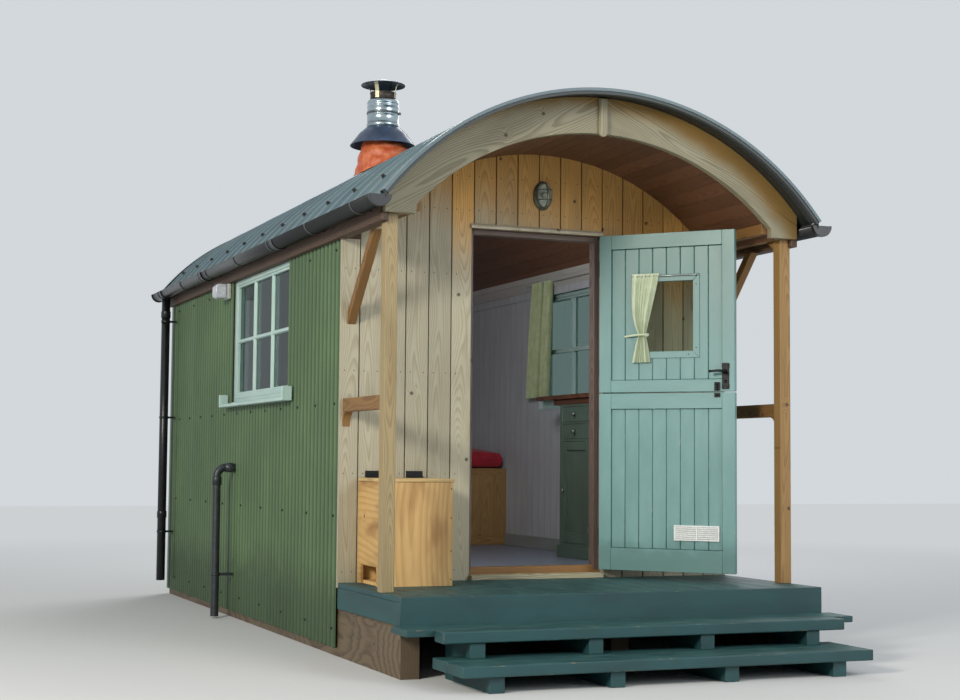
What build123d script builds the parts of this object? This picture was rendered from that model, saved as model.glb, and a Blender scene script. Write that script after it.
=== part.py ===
from build123d import *
import os
from math import sin, cos, radians, sqrt

# Shepherds hut with a barrel roof, a covered porch and a two-part stable door.
# Millimetres. +X is to the right of someone who faces the porch, +Y runs from the porch
# towards the back, +Z is up. The origin is on the ground, on the hut's centre line,
# straight below the outer face of the front wall.

# Levels above the ground
deck_top = 410.0
floor_rise = 30.0
bearer_height = 250.0
deck_board_thickness = 28.0
plate_rise = 1938.0
plate_height = 43.0

# Body
body_half_width = 1246.0
body_length = 4650.0
wall_thickness = 100.0
corrugation_depth = 17.0
corrugation_pitch = 76.2
sheet_gauge = 1.0
cladding_bottom = 45.0
seat = 0.3

# Front boarding
board_thickness = 20.0
board_cover = 139.1
board_gap = 7.0
first_board_cover = 113.0
frame_depth = 90.0

# Porch
porch_depth = 1048.0
fascia_thickness = 28.0
fascia_height = 144.0
deck_inset = 3.0
deck_board_count = 17
deck_board_gap = 6.0
post_size = 70.0
post_inset = 6.0
post_setback = 1.0
porch_plate_width = 24.0
rail_bottom = 1364.0
rail_height = 76.0
rail_thickness = 45.0
corbel_depth = 63.0
corbel_height = 82.0
top_corbel_depth = 72.0
top_corbel_height = 50.0
brace_width = 65.0
brace_inset = 51.0
brace_drop = 488.0
brace_foot = 73.0
brace_reach = 460.0

# Steps
tread_depth_back = 226.0
tread_depth_front = 124.0
tread_thickness_back = 34.0
tread_thickness_front = 58.0
tread_gap = 6.0
upper_step_top = 270.0
lower_step_top = 135.0
back_plank_overhang = 44.0
front_plank_setback = 99.0
steps_reach = 612.0
lower_plank_depth = 200.0
lower_plank_thickness = 56.0
stringer_width = 80.0
packer_setback = 16.0
stringer_setback = 30.0
stringer_count = 4
stringer_pitch = 640.0

# Barrel roof: one arc from eave to eave, with a flatter arc of ceiling boards inside
crown_rise = 715.0
roof_over_plate = 168.0
eave_overhang = 60.0
roof_sheet_depth = 18.0
ceiling_rise = 529.0
ceiling_edge_drop = 8.0
ceiling_thickness = 12.0
verge_overhang = 160.0
back_overhang = 135.0

# Arched boards at the gables
barge_thickness = 45.0
barge_setback = 253.0
barge_crown_depth = 203.0
barge_foot_height = 50.0
barge_foot_inset = 161.0
barge_foot_overhang = 14.0
barge_joint = 2.0
keystone_width = 48.0
keystone_drop = 8.0
keystone_height = 213.0
keystone_thickness = 20.0
back_barge_depth = 150.0
eaves_board_thickness = 42.0
eaves_board_nose = 25.0

# Gutters and downpipes
gutter_radius = 56.0
gutter_wall = 3.0
gutter_reach = 90.0
gutter_rise = 65.0
gutter_front_setback = 14.0
gutter_back_reach = 5.0
stop_end_radius = 63.0
stop_end_length = 24.0
bracket_count = 7
bracket_first_setback = 355.0
bracket_last_inset = 90.0
bracket_width = 30.0
bracket_thickness = 4.0
bracket_height = 46.0
downpipe_radius = 34.0
downpipe_inset = 180.0
downpipe_bottom = 120.0

# Door opening, frame and leaves
leaf_width = 838.0
leaf_height = 1990.0
leaf_thickness = 40.0
leaf_rise = 20.0
lower_leaf_height = 1042.0
leaf_split = 6.0
leaf_clearance = 5.0
leaf_proud = 2.0
leaf_open_angle = 132.0
hinge_x = 392.0
hinge_y = -6.0
hinge_edge_gap = 2.5
jamb_thickness = 45.0
stop_width = 30.0
stile_width = 76.0
top_rail_height = 115.0
upper_leaf_bottom_rail = 72.0
lower_leaf_top_rail = 92.0
bottom_rail_height = 130.0
panel_recess = 10.0
panel_board_count = 8
groove_size = 3.0
light_inset = 137.5
light_width = 411.0
light_rise = 200.0
light_height = 494.0
light_frame_width = 40.0
light_frame_proud = 5.0
glass_thickness = 4.0
knuckle_radius = 3.5
knuckle_length = 100.0
hinge_from_end = 190.0
hinge_from_split = 150.0
threshold_rise = 15.0
sill_front = -42.0
sill_front_rise = 27.0
sill_rebate = 12.0

# Side windows
window_front = 1100.0
window_length = 1440.0
window_rise = 1055.0
casing_width = 46.0
glazing_bar = 30.0
casing_depth = 70.0
window_columns = 3
window_rows = 2
sill_overhang = 100.0
sill_projection = 65.0
sill_height = 27.0
sill_end_height = 90.0
sill_end_thickness = 20.0

# Curtain tied back over the door's window
curtain_thickness = 22.0
curtain_top_rise = 8.0
curtain_hem_drop = 28.0
curtain_tie_rise = 137.0
curtain_edges_top = (-2.0, 166.0)
curtain_edges_tie = (40.0, 82.0)
curtain_edges_hem = (-4.0, 112.0)

# Lever handle on its plate
lock_inset = 30.5
lock_width = 46.0
lock_rise = 13.0
lock_height = 151.0
plate_thickness = 6.0
lever_rise = 103.0
spindle_radius = 11.0
lever_reach = 44.0
lever_length = 100.0
lever_depth = 18.0
lever_thickness = 14.0

# Lights: an oval bulkhead over the door and a box light under the left eaves
porch_light_x = -2.0
porch_light_rise = 219.0
porch_light_base = (24.0, 59.0, 87.0)
porch_light_bowl = (80.0, 44.0, 71.0)
porch_light_round = 12.0
side_light_from_window = 135.0
side_light_drop = 57.0
side_light_width = 130.0
side_light_height = 110.0
side_light_projection = 110.0
side_light_round = 22.0

# Waste pipe on the left wall
waste_radius = 28.0
waste_y = 2440.0
waste_height = 1037.0
waste_reach = 120.0
waste_bend = 60.0
waste_foot = 12.0

# Flue
flue_x = -670.0
flue_y = 1000.0
flue_radius = 100.0
flue_rise = 14.0
flue_band_rise = 92.0
flue_band_height = 24.0
flue_band = 4.0
flue_body_height = 265.0
flue_shoulder = 13.0
neck_radius = 82.0
neck_height = 55.0
cap_radius = 142.0
cap_gap = 50.0
cap_height = 42.0
cap_edge = 6.0
strap_radius = 70.0
strap_width = 20.0
strap_thickness = 4.0
cone_radius = 208.0
cone_height = 114.0
boot_profile = ((190.0, 369.7), (175.0, 159.7), (128.0, 19.7), (126.0, 0.0))

# Locker against the front wall
locker_inset = 116.0
locker_length = 425.0
locker_depth = 385.0
locker_height = 568.0
locker_board = 18.0
locker_vent_front = 55.0
locker_vent_back = 60.0
locker_vent_height = 87.0
lid_thickness = 18.0
lid_overhang = 6.0
lid_pin_y = -12.0
lid_knuckle_radius = 5.0
lid_hinge_inset = 90.0
lid_flap = 34.0

# Cabinet and bench that show through the doorway
cabinet_depth = 278.0
cabinet_front = 1060.0
cabinet_length = 500.0
cabinet_height = 1050.0
plinth_height = 80.0
plinth_proud = 15.0
apron_height = 40.0
apron_reach = 110.0
worktop_thickness = 30.0
worktop_overhang = 18.0
worktop_reach = 370.0
bench_depth = 1382.0
bench_height = 600.0
cushion_thickness = 150.0
cushion_inset = 20.0
cushion_round = 30.0

# Sizes worked out from the ones above
floor_top = deck_top + floor_rise
plate_bottom = deck_top + plate_rise
roof_seat = plate_bottom + plate_height
fascia_bottom = deck_top - fascia_height
chassis_top = deck_top - deck_board_thickness
wall_outer = body_half_width - corrugation_depth - sheet_gauge
wall_inner = wall_outer - wall_thickness
frame_back = board_thickness + frame_depth
back_wall_outer = body_length - corrugation_depth - sheet_gauge
back_wall_inner = back_wall_outer - wall_thickness
plate_inner = wall_inner + 3.0
plate_outer = wall_outer + 3.0
eaves_face = plate_outer + seat + eaves_board_thickness

deck_half_width = body_half_width - deck_inset
post_half_span = body_half_width - post_inset
barge_front = barge_setback - porch_depth
barge_back = barge_front + barge_thickness
post_front = barge_back + post_setback
post_back = post_front + post_size
brace_centre = post_half_span - brace_inset

roof_crown = roof_seat + crown_rise
roof_radius = (plate_outer ** 2 + (crown_rise - roof_over_plate) ** 2) / (2 * (crown_rise - roof_over_plate))
roof_centre_z = roof_crown - roof_radius
roof_front = barge_front - verge_overhang
roof_back = body_length + back_overhang
ceiling_arch = ceiling_rise + ceiling_edge_drop
ceiling_radius = (plate_inner ** 2 + ceiling_arch ** 2) / (2 * ceiling_arch)
ceiling_centre_z = roof_seat + ceiling_rise - ceiling_radius
barge_foot_inner = body_half_width - barge_foot_inset
barge_foot_outer = body_half_width + barge_foot_overhang
barge_arch = crown_rise - barge_crown_depth - barge_foot_height
barge_arc_radius = (barge_foot_inner ** 2 + barge_arch ** 2) / (2 * barge_arch)
barge_arc_centre_z = roof_crown - barge_crown_depth - barge_arc_radius

gutter_centre = body_half_width + gutter_reach
gutter_rim = roof_seat + gutter_rise
gutter_front = roof_front + gutter_front_setback
gutter_back = roof_back + gutter_back_reach
bracket_first = roof_front + bracket_first_setback
bracket_last = body_length - bracket_last_inset
downpipe_y = body_length - downpipe_inset

leaf_bottom = floor_top + leaf_rise
threshold_top = floor_top + threshold_rise
opening_right = hinge_x - hinge_edge_gap + leaf_clearance
opening_left = hinge_x - hinge_edge_gap - leaf_width - leaf_clearance
opening_top = leaf_bottom + leaf_height + leaf_clearance
rebate_depth = leaf_thickness - leaf_proud + leaf_clearance
window_back = window_front + window_length
window_bottom = floor_top + window_rise
window_sill_top = window_bottom - 8.0
sill_front_y = window_front - sill_overhang
sill_back_y = window_back + sill_overhang
side_light_y = window_back + side_light_from_window
side_light_z = plate_bottom - side_light_drop
waste_drop_x = body_half_width + waste_reach

flue_bottom = roof_crown + flue_rise
flue_body_top = flue_bottom + flue_body_height
neck_top = flue_body_top + neck_height
cap_rim = neck_top + cap_gap
cone_top = flue_bottom + flue_band_rise
boot_top = flue_bottom - seat

locker_left = locker_inset - body_half_width
locker_right = locker_left + locker_length
cabinet_left = wall_inner - cabinet_depth
cabinet_back = cabinet_front + cabinet_length
bench_front = back_wall_inner - bench_depth

os.makedirs("parts", exist_ok=True)


def save(piece, name):
    """Label a finished piece and write it under its node's name."""
    piece.part.label = name
    export_step(piece.part, "parts/" + name + ".step")


def block(x0, x1, y0, y1, z0, z1, mode=Mode.ADD):
    """A board, post or slab between two corners, added to the open part."""
    with Locations(((x0 + x1) / 2, (y0 + y1) / 2, (z0 + z1) / 2)):
        Box(x1 - x0, y1 - y0, z1 - z0, mode=mode)


def mirrored(x0, x1):
    """The same stretch of X on both sides of the hut."""
    return ((-x1, -x0), (x0, x1))


def across(y):
    """An upright plane that faces the viewer at this distance from the front wall."""
    return Plane.XZ.offset(-y)


def roof_height(x, offset=0.0):
    """Height of the roof's underside at X, or of a line at an offset from it."""
    return roof_centre_z + sqrt((roof_radius + offset) ** 2 - x * x)


def ceiling_height(x, offset=0.0):
    """Height of the ceiling boards' underside at X, or of a line at an offset from it."""
    return ceiling_centre_z + sqrt((ceiling_radius + offset) ** 2 - x * x)


def arch(height, x, offset=0.0):
    """An arc over the whole width, from -X to X, on one of the two height lines."""
    ThreePointArc((-x, height(x, offset)), (0, height(0, offset)), (x, height(x, offset)))


# Ground bearers and chassis
bearer_width = 100.0
with BuildPart() as ground_bearers:
    for low, high in ((-wall_outer, -wall_outer + bearer_width), (-bearer_width / 2, bearer_width / 2),
                      (wall_outer - bearer_width, wall_outer)):
        block(low, high, -porch_depth + fascia_thickness, back_wall_outer, 0, bearer_height)
save(ground_bearers, "ground_bearers")

with BuildPart() as chassis:
    block(-wall_outer, wall_outer, -porch_depth + fascia_thickness, back_wall_outer, bearer_height, chassis_top)
save(chassis, "chassis")

with BuildPart() as cabin_floor:
    block(-wall_inner, wall_inner, frame_back, back_wall_inner, chassis_top, floor_top)
save(cabin_floor, "cabin_floor")

# Porch deck: boards that run front to back, closed by a fascia on three sides
deck_pitch = 2 * deck_half_width / deck_board_count
with BuildPart() as deck_boards:
    for index in range(deck_board_count):
        left = -deck_half_width + index * deck_pitch + deck_board_gap / 2
        block(left, left + deck_pitch - deck_board_gap, -porch_depth + fascia_thickness + seat, -seat,
              chassis_top, deck_top)
save(deck_boards, "deck_boards")

with BuildPart() as deck_fascia:
    block(-deck_half_width, deck_half_width, -porch_depth, -porch_depth + fascia_thickness,
          fascia_bottom, deck_top)
    for low, high in mirrored(wall_outer, deck_half_width):
        block(low, high, -porch_depth + fascia_thickness, -seat, fascia_bottom, chassis_top)
save(deck_fascia, "deck_fascia")

# Steps: two planks a step on four stepped bearers
upper_back_edge = -porch_depth - seat
upper_joint = upper_back_edge - tread_depth_back
back_plank_half = body_half_width + back_plank_overhang
front_plank_half = body_half_width - front_plank_setback
lower_step_front = -porch_depth - steps_reach
with BuildPart() as upper_step:
    block(-back_plank_half, back_plank_half, upper_joint, upper_back_edge,
          upper_step_top - tread_thickness_back, upper_step_top)
    block(-front_plank_half, front_plank_half, upper_joint - tread_gap - tread_depth_front,
          upper_joint - tread_gap, upper_step_top - tread_thickness_front, upper_step_top)
save(upper_step, "upper_step")

with BuildPart() as lower_step:
    for index in range(2):
        front = lower_step_front + index * (lower_plank_depth + tread_gap)
        block(-front_plank_half, front_plank_half, front, front + lower_plank_depth,
              lower_step_top - lower_plank_thickness, lower_step_top)
save(lower_step, "lower_step")

lower_step_back = lower_step_front + 2 * lower_plank_depth + tread_gap
packer_front = upper_joint - tread_gap - tread_depth_front + packer_setback
with BuildPart() as step_bearers:
    for index in range(stringer_count):
        centre = (index - (stringer_count - 1) / 2) * stringer_pitch
        with BuildSketch(Plane.YZ.offset(centre - stringer_width / 2)):
            with BuildLine():
                Polyline((upper_back_edge, 0), (upper_back_edge, upper_step_top - tread_thickness_back),
                         (upper_joint - tread_gap / 2, upper_step_top - tread_thickness_back),
                         (upper_joint - tread_gap / 2, upper_step_top - tread_thickness_front),
                         (packer_front, upper_step_top - tread_thickness_front),
                         (packer_front, lower_step_top),
                         (lower_step_back + seat, lower_step_top),
                         (lower_step_back + seat, lower_step_top - lower_plank_thickness),
                         (lower_step_front + stringer_setback, lower_step_top - lower_plank_thickness),
                         (lower_step_front + stringer_setback, 0), close=True)
            make_face()
        extrude(amount=stringer_width)
save(step_bearers, "step_bearers")

# Front wall frame, split beside and over the doorway
frame_left = opening_left - jamb_thickness
frame_right = opening_right + jamb_thickness
frame_head = opening_top + jamb_thickness


def gable_outline(half_width=wall_outer, bottom=chassis_top):
    """Wall outline under the side plates and the arched roof."""
    inner = plate_inner - seat
    shoulder = ceiling_height(inner, ceiling_thickness)
    Polyline((-inner, shoulder), (-inner, plate_bottom), (-half_width, plate_bottom),
             (-half_width, bottom), (half_width, bottom), (half_width, plate_bottom),
             (inner, plate_bottom), (inner, shoulder))
    arch(ceiling_height, inner, ceiling_thickness)


with BuildPart() as front_wall_sides:
    with BuildSketch(across(frame_back)):
        with BuildLine():
            gable_outline()
        make_face()
        with Locations(((frame_left + frame_right) / 2, roof_seat)):
            Rectangle(frame_right - frame_left, 4 * roof_seat, mode=Mode.SUBTRACT)
    extrude(amount=frame_back - board_thickness)
save(front_wall_sides, "front_wall_sides")

with BuildPart() as front_wall_head:
    with BuildSketch(across(frame_back)):
        with BuildLine():
            gable_outline()
        make_face()
        with Locations(((frame_left + frame_right) / 2, (frame_head + 2 * roof_seat) / 2)):
            Rectangle(frame_right - frame_left, 2 * roof_seat - frame_head, mode=Mode.INTERSECT)
    extrude(amount=frame_back - board_thickness)
save(front_wall_head, "front_wall_head")

# Upright boards over the front wall, cut around the doorway and under the roof arc
first_seam = first_board_cover - body_half_width
board_seams = [-body_half_width - board_gap / 2]
while body_half_width - (first_seam + (len(board_seams) - 1) * board_cover) > board_cover / 2:
    board_seams.append(first_seam + (len(board_seams) - 1) * board_cover)
board_seams.append(body_half_width + board_gap / 2)
with BuildPart() as front_boards:
    for left, right in zip(board_seams[:-1], board_seams[1:]):
        with BuildSketch(across(board_thickness - seat)):
            with BuildLine():
                gable_outline(body_half_width, chassis_top + seat)
            make_face()
            with Locations(((left + right) / 2, roof_seat)):
                Rectangle(right - left - board_gap, 4 * roof_seat, mode=Mode.INTERSECT)
            with Locations(((opening_left + opening_right) / 2, opening_top / 2)):
                Rectangle(opening_right - opening_left, opening_top, mode=Mode.SUBTRACT)
        extrude(amount=board_thickness - seat)
save(front_boards, "front_boards")

# Side walls beside and under the windows, and the back wall
with BuildPart() as side_walls:
    for low, high in mirrored(wall_inner, wall_outer):
        block(low, high, frame_back, window_front, chassis_top, plate_bottom)
        block(low, high, window_back, back_wall_inner, chassis_top, plate_bottom)
save(side_walls, "side_walls")

with BuildPart() as walls_under_windows:
    for low, high in mirrored(wall_inner, wall_outer):
        block(low, high, window_front, window_back, chassis_top, window_sill_top)
save(walls_under_windows, "walls_under_windows")

with BuildPart() as back_wall:
    with BuildSketch(across(back_wall_outer)):
        with BuildLine():
            gable_outline()
        make_face()
    extrude(amount=wall_thickness)
save(back_wall, "back_wall")

with BuildPart() as eaves_plates:
    for low, high in mirrored(plate_inner, plate_outer):
        block(low, high, 0, back_wall_outer, plate_bottom, roof_seat)
    for low, high in mirrored(plate_outer - porch_plate_width, plate_outer):
        block(low, high, post_back + seat, 0, plate_bottom, roof_seat)
save(eaves_plates, "eaves_plates")


def wave(start, stop, crest):
    """Points of a corrugated line from start to stop, each with its depth from the crest."""
    count = int(round((stop - start) / corrugation_pitch))
    pitch = (stop - start) / count
    depths = (0.0, 0.15, 0.85, 1.0, 0.85, 0.15)
    steps = (0.0, 0.16, 0.34, 0.5, 0.66, 0.84)
    points = []
    for index in range(count):
        for step, depth in zip(steps, depths):
            points.append((start + (index + step) * pitch, crest - depth * corrugation_depth))
    points.append((stop, crest))
    return points


# Corrugated cladding on the sides, with the window cut through, and on the back
cladding_front = board_thickness + 2.0
cladding_back = back_wall_outer - 4.0
with BuildPart() as side_cladding:
    for side in (-1, 1):
        outer = wave(cladding_front, cladding_back, body_half_width)
        inner = [(y, x - sheet_gauge) for y, x in reversed(outer)]
        with BuildSketch(Plane.XY.offset(cladding_bottom)):
            with BuildLine():
                Polyline([(side * x, y) for y, x in outer + inner], close=True)
            make_face()
        extrude(amount=plate_bottom - seat - cladding_bottom)
    for low, high in mirrored(wall_outer - 1, body_half_width + 1):
        block(low, high, window_front - seat, window_back + seat, window_sill_top - seat, plate_bottom,
              mode=Mode.SUBTRACT)
    with Locations(Location((-body_half_width, waste_y, waste_height), (0, 90, 0))):
        Cylinder(waste_radius + seat, 4 * corrugation_depth, mode=Mode.SUBTRACT)
save(side_cladding, "side_cladding")

with BuildPart() as back_cladding:
    outer = wave(-wall_outer, wall_outer, body_length)
    inner = [(x, y - sheet_gauge) for x, y in reversed(outer)]
    with BuildSketch(Plane.XY.offset(cladding_bottom)):
        with BuildLine():
            Polyline(outer + inner, close=True)
        make_face()
    extrude(amount=2 * roof_seat)
    with BuildSketch(across(body_length + 1)):
        with BuildLine():
            eave = roof_height(wall_outer, -seat)
            Polyline((-wall_outer, eave), (-wall_outer, cladding_bottom), (wall_outer, cladding_bottom),
                     (wall_outer, eave))
            arch(roof_height, wall_outer, -seat)
        make_face()
    extrude(amount=corrugation_depth + 4, mode=Mode.INTERSECT)
save(back_cladding, "back_cladding")

flashing_width = 60.0
with BuildPart() as corner_flashings:
    for side in (-1, 1):
        with BuildSketch(Plane.XY.offset(cladding_bottom)):
            with BuildLine():
                corner = body_half_width + 0.8
                edge = body_length + 0.8
                Polyline((side * corner, edge - flashing_width), (side * corner, edge),
                         (side * (corner - flashing_width), edge),
                         (side * (corner - flashing_width), edge - 0.5),
                         (side * (corner - 0.5), edge - 0.5),
                         (side * (corner - 0.5), edge - flashing_width), close=True)
            make_face()
        extrude(amount=plate_bottom - seat - cladding_bottom)
save(corner_flashings, "corner_flashings")

# Roof: boarded ceiling, insulated core on the plates, and the sheet skin over it
with BuildPart() as roof_core:
    with BuildSketch(across(back_wall_outer)):
        with BuildLine():
            shoulder = ceiling_height(plate_inner, ceiling_thickness + seat)
            eave = roof_height(plate_outer, -seat)
            arch(roof_height, plate_outer, -seat)
            Polyline((plate_outer, eave), (plate_outer, roof_seat), (plate_inner, roof_seat),
                     (plate_inner, shoulder))
            arch(ceiling_height, plate_inner, ceiling_thickness + seat)
            Polyline((-plate_inner, shoulder), (-plate_inner, roof_seat), (-plate_outer, roof_seat),
                     (-plate_outer, eave))
        make_face()
    extrude(amount=back_wall_outer - barge_back - seat)
save(roof_core, "roof_core")

eave_tip = body_half_width + eave_overhang
eave_tip_outer = eave_tip * (roof_radius + roof_sheet_depth) / roof_radius
with BuildPart() as roof_sheets:
    with BuildSketch(across(roof_back)):
        with BuildLine():
            low = roof_height(eave_tip)
            high = roof_height(eave_tip_outer, roof_sheet_depth)
            arch(roof_height, eave_tip)
            arch(roof_height, eave_tip_outer, roof_sheet_depth)
            Polyline((-eave_tip, low), (-eave_tip_outer, high))
            Polyline((eave_tip, low), (eave_tip_outer, high))
        make_face()
    extrude(amount=roof_back - roof_front)
save(roof_sheets, "roof_sheets")

with BuildPart() as ceiling_boards:
    for front, back in ((barge_back + seat, -seat), (frame_back + seat, back_wall_inner - seat)):
        with BuildSketch(across(back)):
            with BuildLine():
                edge = plate_inner - seat
                low = ceiling_height(edge)
                high = ceiling_height(edge, ceiling_thickness)
                arch(ceiling_height, edge)
                arch(ceiling_height, edge, ceiling_thickness)
                Polyline((-edge, low), (-edge, high))
                Polyline((edge, low), (edge, high))
            make_face()
        extrude(amount=back - front)
save(ceiling_boards, "ceiling_boards")

# Arched barge boards in two halves, with a batten over their joint


def barge_height(x):
    """Height of the front boards' lower edge, a flatter arc than the roof's."""
    return barge_arc_centre_z + sqrt(barge_arc_radius ** 2 - x * x)


joint = barge_joint / 2
with BuildPart() as front_barge_boards:
    for side in (-1, 1):
        with BuildSketch(across(barge_back)):
            with BuildLine():
                middle = barge_foot_outer / 2
                ThreePointArc((side * joint, roof_height(joint, -seat)), (side * middle, roof_height(middle, -seat)),
                              (side * barge_foot_outer, roof_height(barge_foot_outer, -seat)))
                Polyline((side * barge_foot_outer, roof_height(barge_foot_outer, -seat)),
                         (side * barge_foot_outer, roof_seat), (side * barge_foot_inner, roof_seat),
                         (side * barge_foot_inner, barge_height(barge_foot_inner)))
                middle = barge_foot_inner / 2
                ThreePointArc((side * barge_foot_inner, barge_height(barge_foot_inner)),
                              (side * middle, barge_height(middle)), (side * joint, barge_height(joint)))
                Polyline((side * joint, barge_height(joint)), (side * joint, roof_height(joint, -seat)))
            make_face()
        extrude(amount=barge_thickness)
save(front_barge_boards, "front_barge_boards")

keystone_top = roof_crown - keystone_drop
keystone_bottom = keystone_top - keystone_height
with BuildPart() as keystone_batten:
    with BuildSketch(across(barge_front)):
        with BuildLine():
            half = keystone_width / 2
            Polyline((-half, keystone_bottom + half / 2), (-half, keystone_top), (half, keystone_top),
                     (half, keystone_bottom + half / 2))
            ThreePointArc((half, keystone_bottom + half / 2), (0, keystone_bottom),
                          (-half, keystone_bottom + half / 2))
        make_face()
    extrude(amount=keystone_thickness)
save(keystone_batten, "keystone_batten")

back_foot_inner = sqrt((roof_radius - back_barge_depth) ** 2 - (plate_bottom - roof_centre_z) ** 2)
with BuildPart() as back_barge_boards:
    for side in (-1, 1):
        with BuildSketch(across(body_length + seat + barge_thickness)):
            with BuildLine():
                middle = barge_foot_outer / 2
                ThreePointArc((side * joint, roof_height(joint, -seat)), (side * middle, roof_height(middle, -seat)),
                              (side * barge_foot_outer, roof_height(barge_foot_outer, -seat)))
                Polyline((side * barge_foot_outer, roof_height(barge_foot_outer, -seat)),
                         (side * barge_foot_outer, plate_bottom), (side * back_foot_inner, plate_bottom))
                middle = back_foot_inner / 2
                ThreePointArc((side * back_foot_inner, plate_bottom),
                              (side * middle, roof_height(middle, -back_barge_depth)),
                              (side * joint, roof_height(joint, -back_barge_depth)))
                Polyline((side * joint, roof_height(joint, -back_barge_depth)),
                         (side * joint, roof_height(joint, -seat)))
            make_face()
        extrude(amount=barge_thickness)
save(back_barge_boards, "back_barge_boards")

with BuildPart() as eaves_boards:
    for side in (-1, 1):
        with BuildSketch(across(body_length)):
            with BuildLine():
                inside = plate_outer + seat
                Polyline((side * inside, plate_bottom), (side * eaves_face, plate_bottom),
                         (side * eaves_face, roof_height(eaves_face, -seat)),
                         (side * inside, roof_height(inside, -seat)), close=True)
            make_face()
        extrude(amount=body_length - barge_back - seat)
    for low, high in mirrored(plate_outer + seat, eaves_face):
        block(low, high, barge_back - eaves_board_nose, barge_back + seat, plate_bottom, roof_seat - seat)
save(eaves_boards, "eaves_boards")

# Half-round gutters with stop ends, and round downpipes
with BuildPart() as gutters:
    for side in (-1, 1):
        with BuildSketch(across(gutter_back)):
            with Locations((side * gutter_centre, gutter_rim)):
                Circle(gutter_radius)
                Circle(gutter_radius - gutter_wall, mode=Mode.SUBTRACT)
            with Locations((side * gutter_centre, gutter_rim + gutter_radius)):
                Rectangle(3 * gutter_radius, 2 * gutter_radius, mode=Mode.SUBTRACT)
        extrude(amount=gutter_back - gutter_front)
        for back in (gutter_front + stop_end_length, gutter_back):
            with BuildSketch(across(back)):
                with Locations((side * gutter_centre, gutter_rim)):
                    Circle(stop_end_radius)
                with Locations((side * gutter_centre, gutter_rim + gutter_radius + gutter_wall)):
                    Rectangle(3 * gutter_radius, 2 * gutter_radius, mode=Mode.SUBTRACT)
            extrude(amount=stop_end_length)
        for index in range(bracket_count):
            back = bracket_first + index * (bracket_last - bracket_first) / (bracket_count - 1)
            with BuildSketch(across(back + bracket_width)):
                with Locations((side * gutter_centre, gutter_rim)):
                    Circle(gutter_radius + bracket_thickness)
                    Circle(gutter_radius - gutter_wall / 2, mode=Mode.SUBTRACT)
                with Locations((side * gutter_centre, gutter_rim + gutter_radius)):
                    Rectangle(3 * gutter_radius, 2 * gutter_radius, mode=Mode.SUBTRACT)
            extrude(amount=bracket_width)
            low, high = sorted((side * (eaves_face + seat), side * (gutter_centre - gutter_radius + 1)))
            block(low, high, back, back + bracket_width, gutter_rim - bracket_height, gutter_rim - 2)
save(gutters, "gutters")

with BuildPart() as downpipes:
    for side in (-1, 1):
        with BuildSketch(Plane.XY.offset(downpipe_bottom)):
            with Locations((side * gutter_centre, downpipe_y)):
                Circle(downpipe_radius)
                Circle(downpipe_radius - gutter_wall, mode=Mode.SUBTRACT)
        extrude(amount=gutter_rim - gutter_radius - seat - downpipe_bottom)
save(downpipes, "downpipes")

# Porch posts, rails with corbels, and braces
with BuildPart() as porch_posts:
    for low, high in mirrored(post_half_span - post_size, post_half_span):
        block(low, high, post_front, post_back, deck_top, roof_seat - seat)
    for low, high in mirrored(plate_outer, post_half_span + 1):
        block(low, high, post_front - 1, post_back + 1, plate_bottom - seat, roof_seat, mode=Mode.SUBTRACT)
save(porch_posts, "porch_posts")

rail_inner = post_half_span - post_size / 2 - rail_thickness / 2
with BuildPart() as porch_rails:
    for low, high in mirrored(rail_inner, rail_inner + rail_thickness):
        block(low, high, post_back + seat, -seat, rail_bottom, rail_bottom + rail_height)
        for root, tip in ((post_back + seat, post_back + seat + corbel_depth), (-seat, -seat - corbel_depth)):
            with BuildSketch(Plane.YZ.offset(low)):
                with BuildLine():
                    knee = (root + (tip - root) * 0.35, rail_bottom - corbel_height * 0.35)
                    Polyline((root, rail_bottom), (root, rail_bottom - corbel_height))
                    ThreePointArc((root, rail_bottom - corbel_height), knee, (tip, rail_bottom))
                    Polyline((tip, rail_bottom), (root, rail_bottom))
                make_face()
            extrude(amount=rail_thickness)
save(porch_rails, "porch_rails")

with BuildPart() as porch_braces:
    brace_wall_low = plate_bottom - brace_drop
    brace_wall_high = brace_wall_low + brace_foot
    top_cut = brace_reach * (brace_drop - brace_foot) / brace_drop
    for low, high in mirrored(brace_centre - brace_width / 2, brace_centre + brace_width / 2):
        with BuildSketch(Plane.YZ.offset(low)):
            with BuildLine():
                Polyline((-seat, brace_wall_low), (-seat, brace_wall_high),
                         (-top_cut, plate_bottom - seat), (-brace_reach, plate_bottom - seat), close=True)
            make_face()
        extrude(amount=brace_width)
    for low, high in mirrored(post_half_span - post_size, plate_outer - porch_plate_width - seat):
        with BuildSketch(Plane.YZ.offset(low)):
            with BuildLine():
                root = post_back + seat
                top = roof_seat - seat
                Polyline((root, top), (root, top - top_corbel_height), (root + top_corbel_depth, top), close=True)
            make_face()
        extrude(amount=high - low)
save(porch_braces, "porch_braces")

# Door frame: rebated jambs and head, drip mould over the boards, and the sill
with BuildPart() as door_frame:
    for side, edge in ((-1, opening_left), (1, opening_right)):
        low, high = sorted((edge, edge + side * (jamb_thickness - seat)))
        block(low, high, board_thickness, frame_back, chassis_top + seat, frame_head - seat)
        low, high = sorted((edge, edge - side * stop_width))
        block(low, high, rebate_depth, frame_back, threshold_top + seat, opening_top)
    block(opening_left, opening_right, board_thickness, frame_back, opening_top, frame_head - seat)
    block(opening_left + stop_width, opening_right - stop_width, rebate_depth, frame_back,
          opening_top - stop_width, opening_top)
save(door_frame, "door_frame")

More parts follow.
